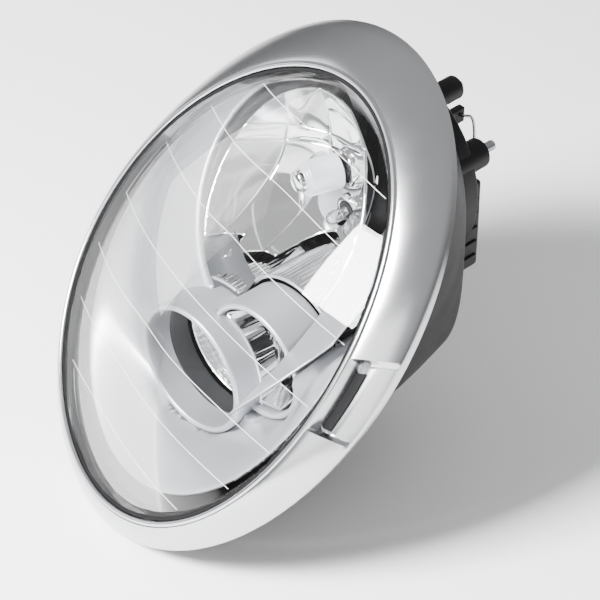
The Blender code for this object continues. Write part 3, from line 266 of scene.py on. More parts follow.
def trimmed_sheet(xs, zs, height, inside):
    """Points and faces of y = height(x, z) over a grid, kept where inside(x, z) > 0.

    Points just outside are carried back onto the edge by four steps of p - f grad f / |grad f|^2."""
    x, z = np.meshgrid(xs, zs)
    f = inside(x, z)
    faces = grid_faces(len(zs), len(xs))
    keep = (f.reshape(-1)[faces] > 0).any(1)
    faces = faces[keep]
    outside = f < 0
    h = 0.05
    for _ in range(4):
        f = inside(x, z)
        gx = (inside(x + h, z) - inside(x - h, z)) / (2 * h)
        gz = (inside(x, z + h) - inside(x, z - h)) / (2 * h)
        scale = np.where(outside, f / np.maximum(gx**2 + gz**2, 1e-6), 0)
        scale = np.clip(scale, -4, 4)
        x, z = x - scale * gx, z - scale * gz
    points = np.stack([x, height(x, z), z], -1).reshape(-1, 3)
    used = np.unique(faces)
    number = np.full(len(points), -1)
    number[used] = np.arange(len(used))
    return points[used], number[faces]


def thicken(piece, wall_mm):
    """Gives an open sheet its wall, on the side away from its normals."""
    solid = piece.modifiers.new("wall", "SOLIDIFY")
    solid.thickness = wall_mm / 1000
    solid.offset = -1
    return piece


# %% [markdown]
# ## The lens's own plane
# The lens leans back and sweeps to one side, so its outline is an egg drawn in a tilted plane. Three
# directions describe that plane, and every piece that follows the lens is built from them.

# %% Directions and outlines
RAKE, SWEEP, LEAN = math.radians(37.9), math.radians(12.0), math.radians(-2.9)
FACING = np.array((-math.sin(SWEEP) * math.cos(RAKE), -math.cos(SWEEP) * math.cos(RAKE), math.sin(RAKE)))
FLAT_ACROSS = np.array((math.cos(SWEEP), -math.sin(SWEEP), 0))
FLAT_UP = np.array((math.sin(SWEEP) * math.sin(RAKE), math.cos(SWEEP) * math.sin(RAKE), math.cos(RAKE)))
ACROSS = FLAT_ACROSS * math.cos(LEAN) + FLAT_UP * math.sin(LEAN)
UPWARD = FLAT_UP * math.cos(LEAN) - FLAT_ACROSS * math.sin(LEAN)
BACK = np.array((0.0, 1.0, 0.0))
LENS_HALF = (114.4, 136.7)
EGG = (-0.019, -0.011)
TRIM_HALF = (135.9, 163.8)
TRIM_SHIFT = np.array((4.5, 16.8, -4.5))
LENS_WALL, LENS_DOME, LENS_SKIRT = 3.0, 26.0, 9.0
LENS_COUNT = 320
BEAD_START, BEAD_FOOT = 2.8, 6.4
TRIM_WALL, TRIM_LIP = 2.2, 7.0
NOTCH = (math.radians(-5.0), math.radians(14.0))


def egg(angle):
    """1 + a cos 3t + b sin 3t: the threefold swell that makes the oval an egg."""
    return 1 + EGG[0] * np.cos(3 * angle) + EGG[1] * np.sin(3 * angle)


def lens_edge(angle, grow=0.0, back=0.0):
    """Points on the lens's outline, grown in its plane and set back along its facing."""
    across = (LENS_HALF[0] + grow) * egg(angle) * np.cos(angle)
    up = (LENS_HALF[1] + grow) * egg(angle) * np.sin(angle)
    return across[..., None] * ACROSS + up[..., None] * UPWARD - np.asarray(back)[..., None] * FACING


def trim_edge(angle, grow=0.0, back=0.0):
    """Points on the ring's outer outline, set back along +Y."""
    across, up = (TRIM_HALF[0] + grow) * np.cos(angle), (TRIM_HALF[1] + grow) * np.sin(angle)
    flat = across[..., None] * ACROSS + up[..., None] * UPWARD + TRIM_SHIFT
    return flat + np.asarray(back)[..., None] * BACK


def plane_y(x, z, back=0.0):
    """Y on the plane that lies back behind the lens's plane."""
    return (-back - FACING[0] * x - FACING[2] * z) / FACING[1]


# %% [markdown]
# ## The clear lens
# It is one moulded shell of polycarbonate, 3 mm thick, with a skirt round its edge. A grid of rings
# gives the dome: each ring is the outline scaled by a share s, lifted by 26 (1 - s^2). A few fine
# cutting lines cross it; each is a thin white bar laid just inside the dome, its white a painted highlight.

# %% Lens
GROOVES = np.array((-0.77, -0.53, -0.29, -0.03, 0.27, 0.55, 0.8))


def dome_grid(shares, grow, back, count=LENS_COUNT):
    """Rings of the dome: s * outline + facing * (26 (1 - s^2) - back)."""
    angle = np.arange(count) * TURN / count
    rings = shares[:, None, None] * lens_edge(angle, grow)[None]
    rise = LENS_DOME * (1 - shares**2) - back
    return rings + rise[:, None, None] * FACING


out_shares = np.concatenate([[0.0], np.linspace(0.02, 1, 60)])
lens_angle = np.arange(LENS_COUNT) * TURN / LENS_COUNT
skirt = np.stack([lens_edge(lens_angle, g, LENS_SKIRT) for g in (-0.5, -LENS_WALL + 0.3)])
inner_dome = dome_grid(out_shares[::-1], -LENS_WALL, LENS_WALL)
lens_grid = np.concatenate([dome_grid(out_shares, 0, 0), skirt, inner_dome])
lens = surface(
    "clear_lens", lens_grid, lens_clear, "housing", "clear_polycarbonate", ("front_lens",), around=True
)


def groove_line(row, count=90):
    """Points on the inner dome where the share up the lens equals row, from side to side."""
    side = math.sqrt(max(0.0, 1 - row * row)) * 0.985
    u = np.linspace(-side, side, count)
    v = np.full(count, row)
    share = np.hypot(u, v)
    angle = np.arctan2(v, u)
    flat = share[:, None] * lens_edge(angle, -LENS_WALL)
    return flat + (LENS_DOME * (1 - share**2) - LENS_WALL - 0.12)[:, None] * FACING


def tube(name, path, radius, material, body, slot, stands_for=(), sides=12):
    """A round bar along a path: centre + r (cos a N + sin a B), with N and B square to the path."""
    path = np.asarray(path, float)
    ahead = np.gradient(path, axis=0)
    ahead /= np.linalg.norm(ahead, axis=1)[:, None]
    guide = FACING if abs(ahead[0] @ FACING) < 0.9 else ACROSS
    first = np.cross(ahead, guide)
    first /= np.maximum(np.linalg.norm(first, axis=1), 1e-9)[:, None]
    second = np.cross(ahead, first)
    a = np.arange(sides) * TURN / sides
    ring = np.cos(a)[None, :, None] * first[:, None] + np.sin(a)[None, :, None] * second[:, None]
    body_grid = path[:, None] + radius * ring
    ends = np.repeat(path[[0, -1]][:, None], sides, 1)
    grid = np.concatenate([ends[:1], body_grid, ends[1:]])
    return surface(name, grid, material, body, slot, stands_for, around=True)


GROOVE_R = 0.17
# The lines' white is a painted highlight: opaque white bars stand for the light that the clear cutting lines
# catch.
lens_line_painted_white = finish("lens line painted white as a highlight", "FFFFFF", 0.1, 0.3)
for index, row in enumerate(GROOVES):
    name, path = f"lens_line_{index + 1}", groove_line(row)
    tube(name, path, GROOVE_R, lens_line_painted_white, "housing", "clear_polycarbonate", sides=6)
print("lens points:", len(lens.data.vertices))

# %% [markdown]
# ## Gasket and ring
# A black gasket fills the groove round the lens. The ring outside it is one pressing: a narrow bead, a
# small step, and a wide flank that swells gently to a turned-back lip. A profile of point functions is
# carried round the outline; a recess near the lower right holds a black window piece.

# %% Gasket
ROUND = 720
around = np.arange(ROUND) * TURN / ROUND
gasket = np.stack([lens_edge(around, g, b) for g, b in ((0.5, 0.3), (2.3, 0.3), (2.3, 7.4), (0.5, 7.4))])
surface("lens_gasket", gasket, rubber, "housing", "black_rubber", ("lens_seal",), around=True, closed=True)


# %% Ring
def flank(angle, share, drop=0.0):
    """From the bead's foot to the outer edge, with a crown of 2.2 sin(pi s)^0.8 along the facing."""
    start = lens_edge(angle, BEAD_FOOT, 0.2)
    crown = 2.2 * np.sin(math.pi * share) ** 0.8 - drop
    return start + (trim_edge(angle) - start) * share + crown * FACING


def notch_depth(angle, share):
    """The recess near the lower right: 10 mm deep by the bead, 3 mm at the edge, with short end walls."""
    turn = (angle + math.pi) % TURN - math.pi
    ends = np.clip((turn - NOTCH[0]) / 0.012, 0, 1) * np.clip((NOTCH[1] - turn) / 0.012, 0, 1)
    deep = ends * (3 + 7 * (1 - share) ** 2)
    return deep * np.clip(share / 0.03, 0, 1) * np.clip((0.97 - share) / 0.05, 0, 1)


def ring_rows(angle):
    """The pressing's profile at each angle: inner wall, bead, step, flank, lip, and back inside."""
    rows = [lens_edge(angle, BEAD_START, LENS_SKIRT - 1), lens_edge(angle, BEAD_START, 0.5)]
    for t in np.linspace(0.05, 0.95, 8) * math.pi:
        rows.append(lens_edge(angle, BEAD_START + 1.55 - 1.5 * math.cos(t), 0.2 - 1.5 * math.sin(t)))
    rows.append(lens_edge(angle, BEAD_FOOT - 0.3, 0.9))
    for share in np.linspace(0.01, 0.985, 26):
        rows.append(flank(angle, share) - notch_depth(angle, share)[:, None] * FACING)
    for grow, back in ((0.0, 0.9), (0.2, 2.4), (0.1, 4.0), (0.0, TRIM_LIP)):
        rows.append(trim_edge(angle, grow, back))
    for grow, back in ((-TRIM_WALL, TRIM_LIP), (-TRIM_WALL, 2.6)):
        rows.append(trim_edge(angle, grow, back))
    for share in np.linspace(0.9, 0.06, 16):
        rows.append(flank(angle, share, TRIM_WALL) - notch_depth(angle, share)[:, None] * FACING)
    rows.append(lens_edge(angle, BEAD_START + TRIM_WALL, TRIM_WALL + 0.2))
    rows.append(lens_edge(angle, BEAD_START + TRIM_WALL, LENS_SKIRT - 1))
    return np.stack(rows)


ring_grid = ring_rows(around)
ring = surface(
    "bright_ring", ring_grid, satin_ring, "housing", "satin_silver", ("trim_ring",),
    around=True, closed=True, sharp=50,
)
window_angle = np.linspace(NOTCH[0] + 0.03, NOTCH[1] - 0.05, 40)
window = [
    flank(window_angle, t) - (notch_depth(window_angle, t) - 1.2)[:, None] * FACING
    for t in (0.03, 0.12, 0.24, 0.36)
]
window += [
    flank(window_angle, t) - (notch_depth(window_angle, t) + 0.4)[:, None] * FACING
    for t in (0.36, 0.03)
]
surface("ring_window", np.stack(window), rubber, "housing", "black_rubber", closed=True)
print("ring points:", len(ring.data.vertices))

# %% [markdown]
# ## The mask behind the lens
# The mask follows the lens above, stands upright round the two barrels below, and comes forward again
# to the lens's lower edge. Its front is one height function of x and z, cut to the lens's outline and
# round the openings. The distance to the oval opening also rolls its edge back.

# %% Mask
MASK_DEPTH, MASK_WALL_Y, FLOOR_FROM, CREASE, MASK_INSET = 13.6, -10.0, 0.84, 5.0, 3.0
MEAN_REACH = 105
HOLE_CENTRE, HOLE_HALF = (16.0, 42.6), (80.0, 57.0)
SIDE_POINT, SIDE_NORMAL = (78.3, -10.6), (0.798, -0.603)
LEFT, LEFT_R, LEFT_FRONT, LEFT_BACK = (-4.1, -52.3), 37.8, -18.2, 14.0
RIGHT, RIGHT_R, RIGHT_FRONT, RIGHT_BACK = (36.8, -30.3), 32.8, -4.6, 26.0
RING_WALL = 3.8


def share_of(x, z):
    """How far out a point is, seen from the front: 0 in the middle and 1 on the lens's outline."""
    p = np.stack([x, plane_y(x, z), z], -1)
    across = p @ ACROSS / (LENS_HALF[0] - LENS_WALL - MASK_INSET)
    up = p @ UPWARD / (LENS_HALF[1] - LENS_WALL - MASK_INSET)
    return np.hypot(across, up) / egg(np.arctan2(up, across))


def ellipse_gap(x, z, centre, half):
    """Roughly the distance outside an ellipse: (q - 1) / |grad q|, with q the scaled radius."""
    u, v = (x - centre[0]) / half[0], (z - centre[1]) / half[1]
    q = np.hypot(u, v) + 1e-9
    return (q - 1) * q / np.hypot(u / half[0], v / half[1])


def circle_gap(x, z, centre, radius):
    """Distance outside a circle."""
    return np.hypot(x - centre[0], z - centre[1]) - radius


def side_gap(x, z):
    """Distance outside the opening's right-hand wedge, which runs from the right barrel to the lens."""
    below = (x - SIDE_POINT[0]) * SIDE_NORMAL[0] + (z - SIDE_POINT[1]) * SIDE_NORMAL[1]
    return np.maximum.reduce([below, RIGHT[0] + 6 - x, z - 70])


def mask_y(x, z):
    """Leaning sheet, upright wall and floor blended by a soft crease of 5 ln(1 + e^(d/5)).

    Beside each barrel the floor is held back to y0 - 8 g, with g the gap to the barrel's wall."""
    share = share_of(x, z)
    leaning = plane_y(x, z) + MASK_DEPTH
    fall = np.clip((share - FLOOR_FROM) / (1 - FLOOR_FROM), 0, 1)
    hold = 1 - fall * fall * (3 - 2 * fall)
    behind = np.clip((MASK_WALL_Y - leaning) / CREASE, -30, 30)
    y = leaning + CREASE * np.log1p(np.exp(behind)) * hold
    for centre, radius, front in ((LEFT, LEFT_R, LEFT_FRONT), (RIGHT, RIGHT_R, RIGHT_FRONT)):
        y = np.maximum(y, front + 6 - 8 * np.maximum(circle_gap(x, z, centre, radius + RING_WALL), 0))
    return y


def mask_front(x, z):
    """The mask with the oval opening's edge rolled back on a 3 mm radius."""
    near = np.clip(np.minimum(ellipse_gap(x, z, HOLE_CENTRE, HOLE_HALF), side_gap(x, z)), 0, 3)
    return mask_y(x, z) + 3 - np.sqrt(9 - (3 - near) ** 2)


def mask_inside(x, z):
    """Positive on the mask: inside the lens's outline and outside the three openings."""
    edge = (1 - share_of(x, z)) * MEAN_REACH
    gaps = [
        ellipse_gap(x, z, HOLE_CENTRE, HOLE_HALF),
        side_gap(x, z),
        circle_gap(x, z, LEFT, LEFT_R + RING_WALL + 0.4),
        circle_gap(x, z, RIGHT, RIGHT_R + RING_WALL + 0.4),
        edge,
    ]
    return np.minimum.reduce(gaps)


points, faces = trimmed_sheet(np.arange(-118, 119, 1.15), np.arange(-114, 115, 1.15), mask_front, mask_inside)
mask = make_mesh(
    "satin_mask", points, faces, satin_mask, "housing", "satin_bezel", ("bezel",), flip=(0, -1, 0), sharp=60
)
thicken(mask, 2.0)
print("mask points:", len(mask.data.vertices))

# %% [markdown]
# ## The two barrels
# Each barrel is a short turned ring with a rolled rim. They run into each other, so the right one is cut
# back where the left one passes. The left barrel has a bright wall first and then a charcoal tube.


# %% Barrels
def barrel_profile(radius, front, back, depth):
    """Rolled rim, bright inner wall to depth, then the outer wall."""
    outer = radius + RING_WALL
    rim = [
        (radius + RING_WALL / 2 * (1 - math.cos(t)), front + 1.9 * (1 - math.sin(t)))
        for t in np.linspace(0, math.pi, 13)
    ]
    wall = [(outer + 0.01, back), (outer - 1.6, back), (outer - 1.6, front + depth), (radius, front + depth)]
    return np.array(rim + wall)


left_barrel = barrel_profile(LEFT_R, LEFT_FRONT, LEFT_BACK, 18.2)
turned(
    "left_barrel", left_barrel, LEFT, satin_mask, "housing", "satin_bezel", ("left_ring_trim",),
    ease=0, open_ends=False, count=160,
)
right_barrel = turned_grid(barrel_profile(RIGHT_R, RIGHT_FRONT, RIGHT_BACK, 16), RIGHT, 240)


def outside_left(grid, gap):
    """Carries points within the left lamp out to its wall, straight across from its line.

    The wall is the barrel's in front and a paraboloid 3.5 mm outside the left bowl behind it."""
    dx, dz = grid[..., 0] - LEFT[0], grid[..., 2] - LEFT[1]
    far = np.hypot(dx, dz)
    bowl = LEFT_R * np.sqrt(np.clip(62 - grid[..., 1], 0, None) / 45.4) + 3.5
    limit = np.minimum(LEFT_R + RING_WALL, bowl) + gap
    push = np.where(far < limit, limit / np.maximum(far, 1e-6), 1)
    moved = grid.copy()
    moved[..., 0], moved[..., 2] = LEFT[0] + dx * push, LEFT[1] + dz * push
    return moved


surface(
    "right_barrel", outside_left(right_barrel, 0.15), satin_mask, "housing", "satin_bezel",
    ("right_ring_trim",), around=True, closed=True,
)
tube_wall = [(LEFT_R - 0.3, 0.6), (LEFT_R + 1.7, 0.6), (LEFT_R + 1.7, LEFT_BACK), (LEFT_R - 0.3, LEFT_BACK)]
turned(
    "left_tube", tube_wall, LEFT, charcoal, "housing", "charcoal_plastic", ("left_lamp_tube",),
    ease=0.4, open_ends=False,
)

# %% [markdown]
# ## Small reflectors
# Behind each barrel is a metallised bowl. A paraboloid r = R sqrt((v - y)/(v - f)) gives its depth, and
# a scalloped term in the angle gives the moulded segments that spread the light.

# %% Left bowl
LEFT_BOWL_FRONT, LEFT_VERTEX = LEFT_BACK + 2.6, 62.0
RIGHT_BOWL_FRONT, RIGHT_VERTEX = -0.8, 60.0
HOLE_R, BOWL_WALL = 8.0, 1.2


def bowl_rows(radius, front, vertex, steps=40):
    """Inside of a paraboloid from its rim to the bulb hole, as (radius, y)."""
    stop = vertex - (vertex - front) * (HOLE_R / radius) ** 2
    y = np.linspace(front, stop, steps)
    return np.stack([radius * np.sqrt((vertex - y) / (vertex - front)), y], 1)


def segments(count, depth, start=0.0):
    """Wobble for a turned grid: each of count segments bows inwards by depth (1 - |2u - 1|^2)."""

    def shape(angle, radius, along):
        u = ((angle + start) * count / TURN) % 1.0
        return radius - depth * (1 - (2 * u - 1) ** 2) * np.clip(radius / 20, 0, 1), along

    return shape


def stippled(angle, radius, along):
    """Small pillows in angle and depth, as on the outer band of the left bowl."""
    return radius - 0.45 * (0.5 + 0.5 * np.cos(angle * 54)) * (0.5 + 0.5 * np.cos(along * TURN / 3.2)), along


rows = bowl_rows(LEFT_R - 0.6, LEFT_BOWL_FRONT, LEFT_VERTEX)
band, deep = rows[:14], rows[13:]
parts = (("band", band, mirror_textured, stippled), ("deep", deep, mirror, segments(18, 0.5)))
for label, part, metal, shape in parts:
    grid = turned_grid(part, LEFT, 324, wobble=shape)
    sheet = surface(
        f"left_bowl_{label}", grid, metal, "housing", "chrome", around=True, flip=(0, -1, 0)
    )
    thicken(sheet, BOWL_WALL)
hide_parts("left_lamp_reflector")
rows = bowl_rows(RIGHT_R - 1.6, RIGHT_BOWL_FRONT, RIGHT_VERTEX)
right_bowl = turned_grid(rows, RIGHT, 320, wobble=segments(9, 1.6, 0.3))
right_piece = surface(
    "right_bowl", outside_left(right_bowl, 1.4), mirror, "housing", "chrome", ("right_lamp_reflector",),
    around=True, flip=(0, -1, 0), sharp=25,
)
thicken(right_piece, BOWL_WALL)

# %% [markdown]
# ## The fluted hood
# The floor of the main reflector rises over both barrels as one bright double hood. Its section is the
# two circles' outer outline; flutes run along it towards the rear, each a shallow cylinder in section.

# %% Hood
HOOD_GAP, HOOD_WALL, HOOD_BACK = 4.0, 2.0, 80.0


def hood_outline(grow, count=520, low_left=150.0, low_right=-25.0):
    """Points, outward directions and arc lengths along the two circles, from left side to right side."""
    rl, rr = LEFT_R + RING_WALL + HOOD_GAP + grow, RIGHT_R + RING_WALL + HOOD_GAP + grow
    step = np.array((RIGHT[0] - LEFT[0], RIGHT[1] - LEFT[1]))
    apart = math.hypot(*step)
    along = (apart**2 + rl**2 - rr**2) / (2 * apart)
    off = math.sqrt(rl**2 - along**2)
    cross = np.array(LEFT) + (step * along + np.array((-step[1], step[0])) * off) / apart
    meet_left = math.atan2(cross[1] - LEFT[1], cross[0] - LEFT[0])
    meet_right = math.atan2(cross[1] - RIGHT[1], cross[0] - RIGHT[0])
    half = count // 2
    a = np.linspace(math.radians(low_left), meet_left, half)
    b = np.linspace(meet_right, math.radians(low_right), count - half)
    left = np.stack([LEFT[0] + rl * np.cos(a), LEFT[1] + rl * np.sin(a)], 1)
    right = np.stack([RIGHT[0] + rr * np.cos(b), RIGHT[1] + rr * np.sin(b)], 1)
    out = np.concatenate([np.stack([np.cos(a), np.sin(a)], 1), np.stack([np.cos(b), np.sin(b)], 1)])
    length = np.concatenate([(a[0] - a) * rl, (a[0] - a[-1]) * rl + (b[0] - b) * rr])
    return np.concatenate([left, right]), out, length, half


def hood_grid(grow, flute, share):
    """Rows from the front lip to the back, with flutes of the given depth every 3.2 mm."""
    line, out, length, half = hood_outline(grow)
    wave = flute * np.abs(np.sin(length * math.pi / 3.2))
    line = line + out * wave[:, None]
    front = np.where(np.arange(len(line)) < half, LEFT_BACK + 1, RIGHT_BACK + 1)
    y = front[None] + (HOOD_BACK - front)[None] * share[:, None]
    x = np.broadcast_to(line[:, 0], y.shape)
    z = np.broadcast_to(line[:, 1], y.shape)
    return np.stack([x, y, z], -1)


shares = np.linspace(0, 1, 24)
top = hood_grid(-0.9, 0.9, shares)
under = hood_grid(-HOOD_WALL, 0.0, shares[::-1])
hood_rows = np.concatenate([top, under, top[:1]])
surface("fluted_hood", hood_rows, mirror, "housing", "chrome", ("fluted_apron",), sharp=60)
lip_line, lip_out, _, half = hood_outline(0.1)
lips = (("left", slice(0, half), LEFT_BACK + 0.6), ("right", slice(half, None), RIGHT_BACK + 0.6))
for label, part, front in lips:
    line, out = lip_line[part][::4], lip_out[part][::4]
    x, z = line[:, 0] - out[:, 0] * 0.9, line[:, 1] - out[:, 1] * 0.9
    path = np.stack([x, np.full(len(line), front), z], 1)
    tube(f"hood_lip_{label}", path, 1.0, satin_mask, "housing", "chrome", sides=10)

# %% [markdown]
# ## The main reflector
# It is a bowl with its vertex at the bulb and a raked rim. Its surface is broken into tall cushions, so
# that each throws its own strip of light. The height is the bowl's depth plus a shallow bow and tilt in
# each cell; the grid's lines lie on the cells' borders, which keeps the creases sharp. A fixed side
# mirror fills the space between the moving bowl and the lens's right edge.

# %% Main reflector
VERTEX = (6.0, 101.0, 39.4)
BOWL_CENTRE, BOWL_HALF, RIM_DEPTH = (10.0, 39.0), (63.0, 54.0), 12.0
AIM_CLEARANCE = 6.5
COLUMNS = np.array((-56.0, -32.0, -7.0, 22.0, 46.0, 80.0))
ROWS_UP = np.array((-18.0, 47.0, 57.0, 98.0))


def bowl_share(x, z):
    """Solves s = |((x, z) - centre(s)) / half|, where the centre slides from the vertex to the rim's."""
    s = np.full(np.shape(x), 0.5)
    for _ in range(6):
        cx = VERTEX[0] + (BOWL_CENTRE[0] - VERTEX[0]) * s
        cz = VERTEX[2] + (BOWL_CENTRE[1] - VERTEX[2]) * s
        s = np.hypot((x - cx) / BOWL_HALF[0], (z - cz) / BOWL_HALF[1])
    return s, np.arctan2((z - cz) / BOWL_HALF[1], (x - cx) / BOWL_HALF[0])


def bowl_y(x, z):
    """Depth of the plain bowl: vertex + (rim - vertex) s^2, with the rim on the raked plane."""
    s, angle = bowl_share(x, z)
    rim_x = BOWL_CENTRE[0] + BOWL_HALF[0] * np.cos(angle)
    rim_z = BOWL_CENTRE[1] + BOWL_HALF[1] * np.sin(angle)
    return VERTEX[1] + (plane_y(rim_x, rim_z, RIM_DEPTH) - VERTEX[1]) * s**2


def bowl_inside(x, z):
    """Positive inside the rim and the oval opening, above both hoods, and outside the bulb's collar."""
    gaps = [
        -ellipse_gap(x, z, BOWL_CENTRE, BOWL_HALF),
        -ellipse_gap(x, z, HOLE_CENTRE, (HOLE_HALF[0] - 3, HOLE_HALF[1] - 3)),
        circle_gap(x, z, LEFT, LEFT_R + RING_WALL + HOOD_GAP + AIM_CLEARANCE),
        circle_gap(x, z, RIGHT, RIGHT_R + RING_WALL + HOOD_GAP + AIM_CLEARANCE),
        np.maximum(z - 22, 50 - x),
        np.maximum(z - 4, x + 22),
        circle_gap(x, z, (6.6, 39.4), 9.2),
        circle_gap(x, z, (19.0, 22.0), 6.2),
    ]
    return np.minimum.reduce(gaps)


draw = np.random.default_rng(7)


def cell_bow(x, z, low, high, bow, tilt_x, tilt_z):
    """A cushion over one cell: bow (1 - u^2)(1 - v^2) plus a tilt, with u and v from -1 to 1."""
    u = (2 * x - low[0] - high[0]) / (high[0] - low[0])
    v = (2 * z - low[1] - high[1]) / (high[1] - low[1])
    return -bow * (1 - u * u) * (1 - v * v) + tilt_x * u + tilt_z * v


all_points, all_faces, start = [], [], 0
for i in range(len(COLUMNS) - 1):
    for j in range(len(ROWS_UP) - 1):
        low, high = (COLUMNS[i], ROWS_UP[j]), (COLUMNS[i + 1], ROWS_UP[j + 1])
        bow, tilt_x, tilt_z = draw.uniform(1.0, 2.2), draw.uniform(-0.7, 0.7), draw.uniform(-0.4, 0.4)
        xs = np.linspace(low[0], high[0], max(8, int((high[0] - low[0]) / 1.1)))
        zs = np.linspace(low[1], high[1], max(8, int((high[1] - low[1]) / 1.1)))

        def cell_height(x, z, low=low, high=high, bow=bow, tilt_x=tilt_x, tilt_z=tilt_z):
            return bowl_y(x, z) + cell_bow(x, z, low, high, bow, tilt_x, tilt_z)

        cell_points, cell_faces = trimmed_sheet(xs, zs, cell_height, bowl_inside)
        if len(cell_faces):
            all_points.append(cell_points)
            all_faces.append(cell_faces + start)
            start += len(cell_points)
bowl = make_mesh(
    "main_bowl", np.concatenate(all_points), np.concatenate(all_faces), mirror, "reflector", "chrome",
    ("main_reflector",), flip=(0, -1, 0), sharp=12,
)
thicken(bowl, 1.6)


def side_y(x, z):
    """The fixed side mirror: a wider bowl q^2.2 deep, never less than 10 mm behind the moving one."""
    u, v = (x - HOLE_CENTRE[0]) / HOLE_HALF[0], (z - HOLE_CENTRE[1]) / HOLE_HALF[1]
    q = np.maximum(np.hypot(u, v), 0.3)
    rim_x, rim_z = HOLE_CENTRE[0] + (x - HOLE_CENTRE[0]) / q, HOLE_CENTRE[1] + (z - HOLE_CENTRE[1]) / q
    rim = plane_y(rim_x, rim_z, RIM_DEPTH + 2)
    wide = 104 + (rim - 104) * np.clip(q, 0, 1.3) ** 2.2
    return np.maximum(wide, bowl_y(x, z) + 10)


def side_inside(x, z):
    """Positive between the moving bowl's rim, drawn in by 16 mm, and the lens's edge, right of the top."""
    below = (x - SIDE_POINT[0]) * SIDE_NORMAL[0] + (z - SIDE_POINT[1]) * SIDE_NORMAL[1]
    gaps = [
        ellipse_gap(x, z, BOWL_CENTRE, (BOWL_HALF[0] - 16, BOWL_HALF[1] - 16)),
        (0.985 - share_of(x, z)) * MEAN_REACH,
        circle_gap(x, z, RIGHT, RIGHT_R + RING_WALL + HOOD_GAP + 0.6),
        x - 5,
        -below - 1,
        np.maximum(x - 60, 2 - ellipse_gap(x, z, HOLE_CENTRE, HOLE_HALF)),
    ]
    return np.minimum.reduce(gaps)


points, faces = trimmed_sheet(np.arange(4, 112, 1.5), np.arange(-30, 101, 1.5), side_y, side_inside)
side = make_mesh("side_mirror", points, faces, satin_mask, "housing", "chrome", flip=(0, -1, 0), sharp=40)
thicken(side, 1.2)
print("reflector points:", len(bowl.data.vertices))

# %% [markdown]
# ## The main bulb, its shield and the small bulb
# The bulb lies on its own line, turned 18 degrees from straight ahead. A grey cap hides it from the
# front. The small bulb stands below it in a chrome seat.

# %% Bulbs and shield
line = Matrix.Translation(Vector((-3.0, 70.3, 39.4))) @ Matrix.Rotation(math.radians(-18), 4, "Z")
cap = [
    (0, -1.6), (4.5, -1.2), (7.6, 0.4), (8.2, 2.4), (10.5, 3.4), (10.5, 24),
    (9.4, 24), (9.4, 4.4), (6, 2.2), (0, 1),
]
turned("bulb_cap", cap, None, shield_paint, "reflector", "shield_grey", ("bulb_shield",), line=line, count=96)
ball = [(7.4 * math.sin(t), -1.4 - 3.6 * math.cos(t)) for t in np.linspace(0, math.pi / 2, 16)]
ball += [(7.4, 0.2), (0, 0.2)]
turned("bulb_cap_lens", ball, None, mirror, "reflector", "chrome", line=line, count=96, ease=0)
glass = [(0, 7), (2.8, 7.6), (4.6, 9.6), (5, 12), (5, 32.6), (0, 32.6)]
turned(
    "main_bulb_capsule", glass, None, glass_clear, "main_bulb", "clear_glass", ("main_bulb_glass",),
    line=line, count=64,
)
collar = [(8.3, 28.4), (9.0, 27.4), (11.5, 27.8), (12, 29.4), (12, 40), (8.3, 40)]
turned("bulb_collar", collar, None, mirror, "reflector", "chrome", line=line, open_ends=False, count=96)
small = [(0, 71), (2.2, 71.5), (3.6, 73.4), (4, 76), (4, 81), (2.6, 85.6), (0, 85.6)]
SMALL_BULB = (19.0, 22.0)
turned(
    "small_bulb", small, SMALL_BULB, glass_clear, "position_lamp", "clear_glass", ("position_bulb",),
    count=64,
)
seat = [(5.0, 88), (6.1, 86), (8.6, 86.5), (9.2, 89), (9.2, 92), (5.0, 92)]
turned("small_bulb_seat", seat, SMALL_BULB, mirror, "reflector", "chrome", open_ends=False, count=64)
for side, centre, vertex in (("left", LEFT, LEFT_VERTEX), ("right", RIGHT, RIGHT_VERTEX)):
    tip = vertex - 24
    nose = [(0, tip), (3.2, tip + 0.7), (4.7, tip + 3), (5, tip + 6)]
    profile = nose + [(5, vertex - 8), (3.4, vertex - 6), (0, vertex - 6)]
    turned(
        f"{side}_bulb_envelope", profile, centre, glass_clear, f"{side}_lamp_bulb", "clear_glass",
        (f"{side}_bulb",), count=64,
    )

# %% [markdown]
# ## The dark wall round the reflector
# Between the mask's oval opening and the reflector stands a dark grey wall. It shows as a crescent.

# %% Surround
arc = np.radians(np.linspace(88, 262, 220))
wall_rows = []
section = (
    (0.4, 2.4), (-0.4, 8.0), (-3.0, 12.5), (-9.0, 17.5),
    (-9.0, 19.0), (-2.0, 15.0), (2.4, 9.0), (2.4, 2.6),
)
for grow, back in section:
    x = HOLE_CENTRE[0] + (HOLE_HALF[0] + grow) * np.cos(arc)
    z = HOLE_CENTRE[1] + (HOLE_HALF[1] + grow) * np.sin(arc)
    wall_rows.append(np.stack([x, mask_y(x, z) + back, z], -1))
wall_grid = np.stack(wall_rows + wall_rows[:1])
surface("grey_surround", wall_grid, grey_wall, "housing", "dark_grey_plastic", ("reflector_surround",))

# %% [markdown]
# ## The housing
# The housing is one deep moulding. Its wall is a loft from the lens's tilted outline to an upright,
# squarish rear outline; the drum, the box, the bosses and the ears stand on it.

# %% Housing
HOUSING_REAR, DRUM_REAR, DRUM_START, DRUM_WALL = 116.0, 132.0, 113.5, 3.0
SHELL_START = 9.4
REAR_CENTRE, REAR_HALF, SQUARENESS, TAPER = (7.0, 10.0), (79.0, 94.0), 3.1, 3.0
DRUM_CENTRE, DRUM_R = (15.0, 37.0), 66.0


